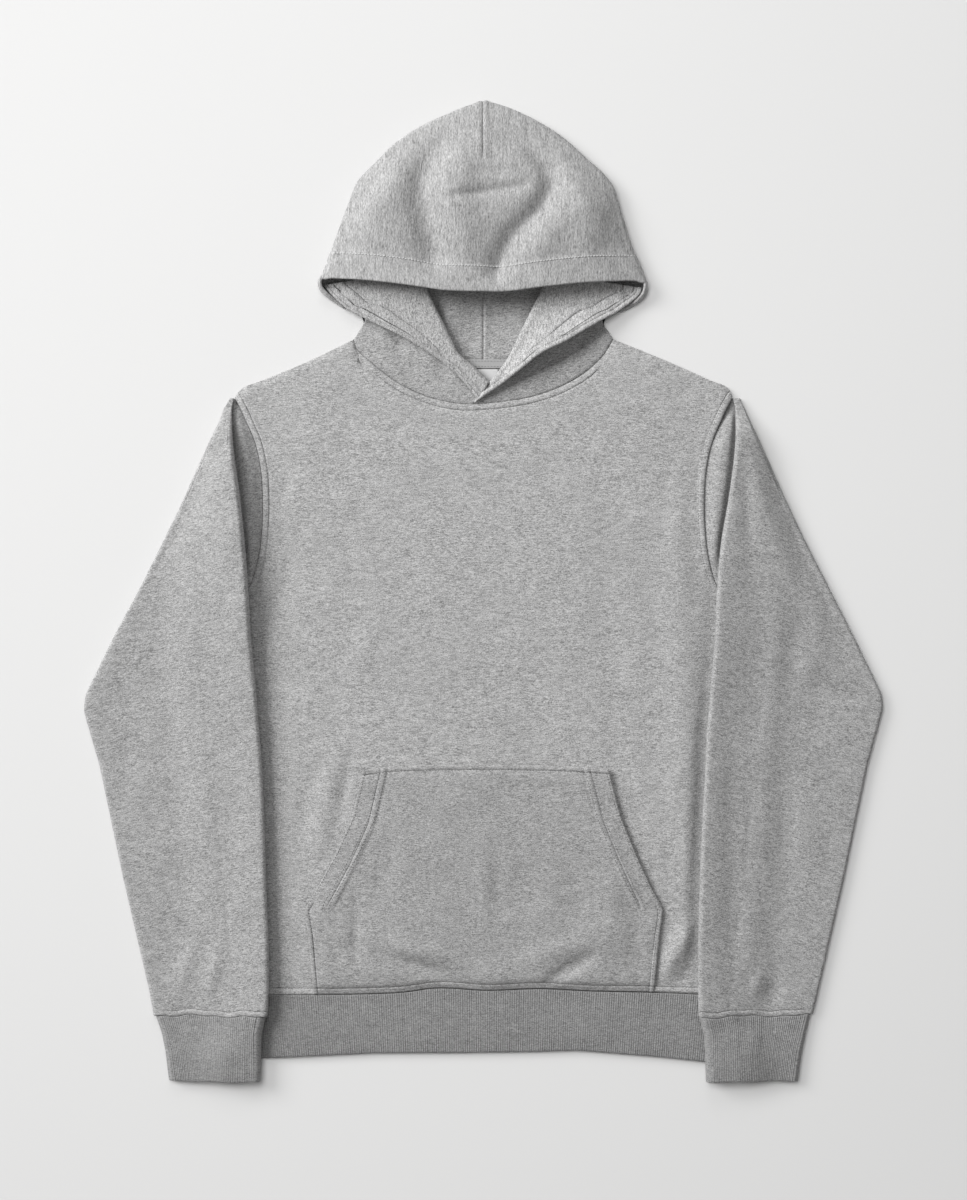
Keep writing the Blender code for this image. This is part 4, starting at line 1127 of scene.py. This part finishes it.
def crown_cloth(material, inside_painted_shade):
    """The back of the hood, the roll round its outline and the crown folded forward over it.

    At the corners the cloth stands up and ends along the outline, and past them it dies away under the
    lapels. Returns the piece and the path of the stitches of its hem.
    """
    share = crown_shares()
    nearer = np.minimum(share, 1 - share)
    edge_z, turned, brim_z = (read(HOOD_RISE, number, nearer) for number in (1, 2, 3))
    from_corner = smooth_step((nearer - 0.06) / 0.22)
    radius = (edge_z - BACK_Z) / 2
    turn = beside_at(HOOD_OUTLINE, share, radius + FLEECE / 2)
    outward = (trace(HOOD_OUTLINE, share) - turn) / (radius + FLEECE / 2)[:, None]
    brim_path, brim = hood_brim(share, nearer, brim_z)
    across = np.linalg.norm(brim[:, :2] - turn, axis=1)
    dome = CROWN_DOME * from_corner * np.minimum(1, across / 120)
    start_slope = (brim_z - edge_z + 4 * dome) / across
    furthest = 180 - np.degrees(np.arctan(start_slope)) * smooth_step((nearer - 0.09) / 0.05)

    back = hood_back_rows(share, turn)
    back_facing = [np.tile([0.0, 0.0, 1.0], (len(share), 1))] * BACK_ROWS
    roll, roll_facing = hood_roll_rows(turn, outward, radius, np.minimum(turned, furthest))
    long = np.linalg.norm(brim - roll[-1], axis=1)
    squeeze = np.minimum(1, long / 75)
    before_hem = 1 - BRIM_LINES[-1] * squeeze / long
    places = [place * before_hem for place in np.linspace(0, 1, CROWN_ROWS + 1)[1:]]
    places += [1 - away * squeeze / long for away in BRIM_LINES[-2::-1]]
    top, top_facing = crown_top_rows(roll[-1], roll_facing[-1], brim, dome, places)
    grid, facing = np.array(back + roll + top), np.array(back_facing + roll_facing + top_facing)
    first_top = BACK_ROWS + ROLL_ROWS

    x, y = grid[..., 0], grid[..., 1]
    on_top = np.zeros(x.shape)
    on_top[first_top:] = smooth_step(3 * np.array(places))
    above = (np.arange(len(grid)) >= BACK_ROWS + ROLL_ROWS // 2)[:, None]
    to_brim = distance(trace(brim_path, 160), x, y)
    relief = folds(CROWN_CREASES, x, y) + troughs(CROWN_TROUGHS, x, y) + 0.5 * rumple(x, y, 12, 45)
    free = smooth_step((to_brim - 4) / 28) * 0.6 + 0.4
    from_dart = np.abs(x + 0.5)
    dart = 1.3 * np.exp(-(from_dart / 5) ** 2) - 3.4 * np.exp(-(from_dart / 1.4) ** 2)
    lift = on_top * from_corner * relief * free
    lift += on_top * BRIM_CURL * (1 - smooth_step(to_brim / 32))
    lift += above * turned_hem(to_brim, HOOD_HEM, 0.6, -0.6) + above * smooth_step((y - DART_Y) / 8) * dart
    grid += facing * lift[..., None]
    lowest = np.where(y < 320, 17.5, 9.0) * from_corner
    kept_up = np.logaddexp((grid[..., 2] - lowest) / 1.5, 0) * 1.5 + lowest
    grid[..., 2] = np.where(on_top * from_corner > 0.5, kept_up, grid[..., 2])

    sunk = np.zeros(x.shape)
    sunk[:BACK_ROWS] = 1.4 * np.exp(-(x[:BACK_ROWS] / 1.1) ** 2)
    thick = np.ones(x.shape)
    thick[first_top:] = rounded(np.linalg.norm(grid[-1] - grid[first_top:], axis=2), FREE_RIM)
    # The inside back of the hood takes the collar's darker grey: painted shade under the brim.
    back_in_painted_shade = np.zeros(x.shape, bool)
    back_in_painted_shade[:BACK_ROWS + 1] = True
    piece = shell("hood_crown_cloth", grid, FLEECE / 2 * thick, material, sunk=sunk,
                  other=(inside_painted_shade, back_in_painted_shade))
    sheet(piece, grid, ["hood_crown"])
    return piece, beside(trace(brim_path, 120), -HOOD_HEM)[3:-3]


def stations_between(stations, count):
    """More stations between those listed, evenly spaced by number."""
    stations = np.array(stations, float)
    at = np.linspace(0, len(stations) - 1, count)
    return np.stack([spline(range(len(stations)), each, at) for each in stations.T], axis=1)


def hood_side_row(station, whole, slant):
    """One row of a side of the hood, its distances from the edge and how much its hem is squeezed.

    whole is the share of its full size that the roll has there. slant is the sine of the angle between the
    row and the edge.
    """
    neck, roll, edge, edge_z = station[:2], station[2:4], station[4:6], station[6]
    radius = whole * (ROLL_TOP_Z - ROLL_LOW_Z) / 2
    up = (roll - neck) / np.linalg.norm(roll - neck)
    back = (edge - roll) / np.linalg.norm(edge - roll)
    forward = (up - back) / np.linalg.norm(up - back)
    turn = roll - forward * (radius + whole * FLEECE / 2)
    start = neck + up * SEAM_GAP * (1 - smooth_step((abs(neck[0]) - 100) / 16))
    long = np.linalg.norm(edge - turn)
    row, away = [], []
    for t in COLLAR_PLACES:
        row.append((*(start + (turn - start) * t), FRONT_Z + (ROLL_LOW_Z - FRONT_Z) * smooth_step(t)))
        away.append(FAR)
    for angle in np.radians(np.linspace(0, 180, LAPEL_ARC)):
        plan = turn + forward * radius * math.sin(angle)
        row.append((*plan, ROLL_LOW_Z + radius * (1 - math.cos(angle))))
        away.append(long)
    squeeze = min(1, long * slant / 40)
    hem_lines = np.array(LAPEL_LINES) * squeeze / slant
    free = np.linspace(0, 1 - hem_lines[-1] / long, 12)[1:]
    over_z = ROLL_LOW_Z + 2 * radius
    for t in np.concatenate([free, 1 - hem_lines[-2::-1] / long]):
        row.append((*(turn + (edge - turn) * t), over_z + (edge_z - over_z) * smooth_step(t)))
        away.append(long * (1 - t) * slant)
    return row, away, squeeze


def hood_side_cloth(name, material, inside_painted_shade):
    """A side of the hood: up from the neck seam, over at the roll, and out again to its hemmed edge.

    The right side ends in a point over the left one. Returns the piece and the path of the stitches of
    its hem.
    """
    neck, rolls, under_crown, strip = HOOD_SIDES[name]
    on_seam = np.hstack([neck, stations_between(rolls, len(neck))])
    beyond = stations_between(np.vstack([on_seam[-1:], under_crown]), STATIONS_BEYOND)
    stations = np.vstack([on_seam, beyond[1:]])
    along = np.gradient(stations[:, 4:6], axis=0)
    outward = stations[:, 4:6] - stations[:, 2:4]
    turned = np.abs(along[:, 0] * outward[:, 1] - along[:, 1] * outward[:, 0])
    slants = turned / np.linalg.norm(along, axis=1) / np.linalg.norm(outward, axis=1)
    whole = np.ones(len(stations))
    if name == "right":
        whole = TIP + (1 - TIP) * smooth_step((stations[:, 0] - neck[0][0]) / 16)
    grid, to_edge, squeezes = zip(*(hood_side_row(*each) for each in zip(stations, whole, slants)))
    grid, to_edge, squeezes = np.array(grid), np.array(to_edge), np.array(squeezes)[:, None]
    collar_end = len(COLLAR_PLACES)
    roll_middle = collar_end + LAPEL_ARC // 2
    roll_end = collar_end + LAPEL_ARC

    x, y = grid[..., 0], grid[..., 1]
    collar = np.zeros(grid.shape[1])
    collar[:collar_end] = np.sin(math.pi * np.linspace(0, 1, collar_end)) ** 0.7
    grid[..., 2] += (folds(COLLAR_CREASES, x, y) + 1.2 + 0.6 * rumple(x, y, 17, 36)) * collar
    on_front = grid[:, :collar_end, 2]
    grid[:, :collar_end, 2] = 0.5 * np.logaddexp(on_front / 0.5, (FRONT_Z - 0.8) / 0.5)
    wide = np.interp(np.linspace(0, 1, len(grid)), (0, STRIP_MIDDLE, 1), strip)[:, None]
    rolled_strip = 0.9 * np.sqrt(np.clip(1 - (2 * to_edge / wide - 1) ** 2, 0, 1))
    seen = smooth_step((squeezes - 0.3) / 0.4)
    hem = turned_hem(to_edge / squeezes, LAPEL_HEM, 0.8, 1.6) * seen
    hem += rolled_strip - 1.9 * np.exp(-((to_edge - wide) / 0.9) ** 2)
    grid[..., 2] += hem * smooth_step((150 - to_edge) / 40)
    grid[:, roll_end:, 2] += folds(LAPEL_CREASES, x, y)[:, roll_end:]
    if name == "left":
        from_front = steps_along(grid[::-1, -1, :2])[::-1, None]
        grid[:, roll_middle:, 2] -= 2.4 * (1 - smooth_step(from_front / 16))

    from_seam = np.linalg.norm(grid[:, :1, :2] - grid[..., :2], axis=2)
    thick = rounded(to_edge, FREE_RIM)
    thick[:, :collar_end] = rounded(from_seam[:, :collar_end], SEWN_RIM)
    thick *= whole[:, None]
    # The collar and the foot of the roll take the collar's darker grey: painted shade under the lapel.
    collar_in_painted_shade = np.zeros(thick.shape, bool)
    collar_in_painted_shade[:, :roll_middle] = True
    piece = shell(f"hood_side_{name}_cloth", grid, FLEECE / 2 * thick, material,
                  other=(inside_painted_shade, collar_in_painted_shade))
    sheet(piece, grid, [f"hood_side_{name}"])
    at_hem = -1 - LAPEL_LINES.index(LAPEL_HEM)
    return piece, grid[squeezes[:, 0] > 0.45][::-1, at_hem, :2]


def strip_cloth(name, x_edges, y_edges, rise, slot, material):
    """A small flat piece on the back, between two heights and a little bowed."""
    x, y = np.meshgrid(np.linspace(*x_edges, 25), np.linspace(*y_edges, 13))
    bow = np.sin(math.pi * (x - x_edges[0]) / (x_edges[1] - x_edges[0]))
    grid = np.stack([x, y, TAPE_Z + rise * bow], axis=2)
    piece = shell(f"{name}_cloth", grid, TAPE / 2, material)
    return sheet(piece, grid, [name])


# --- Stitches ------------------------------------------------------------------------------------------

ABOVE_ALL = Vector((0, 0, 0.2))
DOWN = Vector((0, 0, -1))
STEEPEST_STITCH = 3
STITCH_SINK = 0.15
STITCH_RISE = 0.12
HOOD_STITCH = {"length": 2.9, "pitch": 3.0, "thread": 0.6}
NECK_STITCHED_OUT = 108
ARMHOLE_STITCHED = (182, 6)
HEM_STITCHED_OUT = 203
ABOVE_HEM_SEAM = 6
POCKET_STITCHED = (-372, -172)
POCKET_SEAM_IN = 3
POCKET_TOP_IN = 5
TAPE_STITCHED_OUT = 33
TAPE_STITCH_ROWS = (215.3, 220.4)


def stitch_ends(piece, path, length, pitch):
    """The two ends of each stitch along a path (x, y) over the upper side of a piece."""
    mesh = piece.data
    surface = BVHTree.FromPolygons([v.co for v in mesh.vertices], [p.vertices[:] for p in mesh.polygons])
    path = np.asarray(path, float)
    along = steps_along(path)
    for start in np.arange(0.5, along[-1] - length, pitch):
        ends = []
        for place in (start, start + length):
            x, y = (np.interp(place, along, axis) for axis in path.T)
            hit = surface.ray_cast(Vector((x * MM, y * MM, 0)) + ABOVE_ALL, DOWN)[0]
            if hit is not None:
                ends.append(np.array(hit) / MM)
        if len(ends) == 2 and abs(ends[0][2] - ends[1][2]) <= STEEPEST_STITCH:
            yield ends


def stitches(name, runs, material, length=STITCH_LENGTH, pitch=STITCH_PITCH, thread=THREAD):
    """Rows of stitches, each a short square thread with pointed ends. A run is a piece and a path over it."""
    points, faces = [], []
    ring = [(math.cos(a), math.sin(a)) for a in np.radians([45, 135, 225, 315])]
    for piece, path in runs:
        for start, end in stitch_ends(piece, path, length, pitch):
            direction = (end - start) / np.linalg.norm(end - start)
            side = np.cross(direction, (0, 0, 1))
            side /= np.linalg.norm(side)
            up = np.cross(side, direction)
            first = len(points)
            points.append(start - STITCH_SINK * up)
            for share in (0.22, 0.78):
                middle = start + (end - start) * share + STITCH_RISE * up
                points.extend(middle + thread * (a * side + b * up) for a, b in ring)
            points.append(end - STITCH_SINK * up)
            last = len(points) - 1
            for k in range(4):
                near, far = first + 1 + k, first + 1 + (k + 1) % 4
                faces.append((first, far, near))
                faces.append((near, far, far + 4, near + 4))
                faces.append((last, near + 4, far + 4))
    piece = smooth_mesh(name, np.array(points), faces, material)
    return piece


def side_runs(front, side):
    """The path of the stitches beside one armhole."""
    heights = np.linspace(*ARMHOLE_STITCHED, 80)
    return front, np.stack([side * (body_edge(heights) - WELT), heights], axis=1)


def pocket_runs(pocket):
    """The stitches along the pocket's sides, in two rows at each hand opening, and along its top."""
    heights = np.linspace(*POCKET_STITCHED, 90)
    opening = heights[heights > POCKET_CORNER_Y - 3]
    rows = [(heights, POCKET_SEAM_IN)] + [(opening, POCKET_HEM + row) for row in (-POCKET_ROWS, POCKET_ROWS)]
    runs = []
    for y, away in rows:
        left, right = pocket_sides(y)
        runs.append((pocket, np.stack([left + away, y], axis=1)))
        runs.append((pocket, np.stack([right - away, y], axis=1)))
    runs.append((pocket, beside(trace(POCKET_TOP, 60), POCKET_TOP_IN)[2:-2]))
    return runs


# --- Stage ---------------------------------------------------------------------------------------------

# In metres, with the lens and the sensor in millimetres and the power of the lights in watts
CAMERA_HEIGHT = 2.72
VIEW_CENTRE_Y = -0.00864
LENS = 85
SENSOR = 36
FLOOR_GREY = 0.395
FLOOR_TINT = (1, 0.998, 0.995)
FLOOR_REACH = 4.0
FLOOR_DROP = 0.0004
ROOM_COLOUR = (1.0, 0.995, 0.99)
ROOM_STRENGTH = 0.27
# The soft lights, the one for the floor alone last. Columns: name, place, size, power
SOFTBOXES = [
    ("key", (-4.63, 2.52, 3.82), 3.6, 440),
    ("top", (-0.3, 2.6, 2.2), 1.6, 26),
    ("floor_fill", (-0.6, 0.6, 3.5), 2.0, 150),
]


def camera():
    data = bpy.data.cameras.new("camera")
    data.lens = LENS
    data.sensor_fit = "VERTICAL"
    data.sensor_height = SENSOR
    item = add("camera", data)
    item.location = (0, VIEW_CENTRE_Y, CAMERA_HEIGHT)
    bpy.context.scene.camera = item


def floor():
    material, _, shader = material_nodes("floor_paint", 0.85, 0)
    shader.inputs["Base Color"].default_value = (*(FLOOR_GREY * side for side in FLOOR_TINT), 1)
    mesh = bpy.data.meshes.new("floor")
    corners = [(-1, -1), (1, -1), (1, 1), (-1, 1)]
    mesh.from_pydata([(x * FLOOR_REACH, y * FLOOR_REACH, 0) for x, y in corners], [], [(0, 1, 2, 3)])
    mesh.materials.append(material)
    item = add("floor", mesh)
    item.location = (0, 0, -FLOOR_DROP)
    return item


def softbox(name, place, size, power):
    """A large soft light, turned to the middle of the garment."""
    data = bpy.data.lights.new(name, "AREA")
    data.shape = "DISK"
    data.size = size
    data.energy = power
    item = add(name, data)
    item.location = place
    item.rotation_euler = Vector(place).to_track_quat("Z", "Y").to_euler()
    return item


def lights(ground):
    """A soft key from the upper left, a weak one from above the hood, and a fill for the floor alone."""
    fill = [softbox(*row) for row in SOFTBOXES][-1]
    lit = bpy.data.collections.new("floor_only")
    lit.objects.link(ground)
    fill.light_linking.receiver_collection = lit
    world = bpy.data.worlds.new("room")
    world.use_nodes = True
    background = world.node_tree.nodes["Background"]
    background.inputs["Color"].default_value = (*ROOM_COLOUR, 1)
    background.inputs["Strength"].default_value = ROOM_STRENGTH
    bpy.context.scene.world = world
    bpy.context.scene.view_settings.view_transform = "Standard"


# --- Build ---------------------------------------------------------------------------------------------

def build():
    body = heather("fleece_across", 0.438, 0, contrast=1.12)
    pouch = heather("fleece_pocket", 0.384, 0, contrast=1.12)
    left_arm = heather("fleece_sleeve_left", 0.393, 12, contrast=1.15)
    right_arm = heather("fleece_sleeve_right", 0.388, -12, contrast=1.15)
    hood = heather("fleece_crown", 0.411, 90, CROWN_STREAK, CROWN_GRAIN, contrast=0.85)
    left_lapel = heather("fleece_lapel_left", 0.441, 90, contrast=1.3)
    # The right lapel's grey is lighter than the left one's. This is painted light that makes up for the
    # shadow the brim casts on it.
    right_lapel_painted_light = heather("fleece_lapel_right_painted_light", 0.474, 90, contrast=1.3)
    # The collar's grey is darker than the body's. This is painted shade: it also colours the inside back of
    # the hood under the brim and the collar under the lapels, where shade falls.
    collar = heather("fleece_collar_painted_shade", 0.40, 8, contrast=1.25)
    # The rib greys are the knit's own darker colour, lowered a little as painted shade for the shade between
    # the ribs.
    knit = heather("rib_knit", 0.276, 0, RIB_STREAK, contrast=0.8)
    cuff = heather("cuff_knit", 0.303, 0, RIB_STREAK, contrast=0.85)
    tape = plain_cloth("tape_knit", 0.42, (1.2, 0.8, 1), 0.2)
    label = plain_cloth("label_weave", 0.66, (0.5, 0.5, 0.5), 0.05, roughness=0.8, spread=0.04)
    # The dark grey of this thread is painted shade. The thread has the cloth's own grey, and the dark stands
    # for the shade in the dents of the stitches.
    thread = plain_cloth("thread", 0.27, THREAD_GRAIN, 0.1)
    pale_thread = plain_cloth("pale_thread", 0.62, THREAD_GRAIN, 0.1)

    back_cloth(body)
    front = front_cloth(body)
    pocket = pocket_cloth(pouch)
    sleeve_cloth("left", left_arm)
    sleeve_cloth("right", right_arm)
    for name in SIDES:
        cuff_knit(name, cuff)
    hem_knit(knit)
    crown_hem = crown_cloth(hood, collar)
    left_hem = hood_side_cloth("left", left_lapel, collar)
    right_hem = hood_side_cloth("right", right_lapel_painted_light, collar)
    neck_tape = strip_cloth("neck_tape", *NECK_TAPE, 0, "grey_tape", tape)
    strip_cloth("neck_label", *NECK_LABEL, LABEL_BOW, "white_label", label)

    under_neck = beside(front_neck(), WELT + 0.2)
    stitched = np.abs(under_neck[:, 0]) < NECK_STITCHED_OUT
    stitches("neck_stitches", [(front, under_neck[stitched])], thread)
    stitches("lapel_stitches", [left_hem, right_hem], thread)
    tape_rows = [[(-TAPE_STITCHED_OUT, y), (TAPE_STITCHED_OUT, y)] for y in TAPE_STITCH_ROWS]
    stitches("tape_stitches", [(neck_tape, row) for row in tape_rows], thread)
    stitches("armhole_stitches", [side_runs(front, side) for side in (-1, 1)], thread)
    x = np.linspace(-HEM_STITCHED_OUT, HEM_STITCHED_OUT, 120)
    stitches("hem_stitches", [(front, np.stack([x, hem_y(x) + ABOVE_HEM_SEAM], axis=1))], thread)
    stitches("pocket_stitches", pocket_runs(pocket), thread)
    stitches("hood_stitches", [crown_hem], pale_thread, **HOOD_STITCH)


build()
camera()
lights(floor())
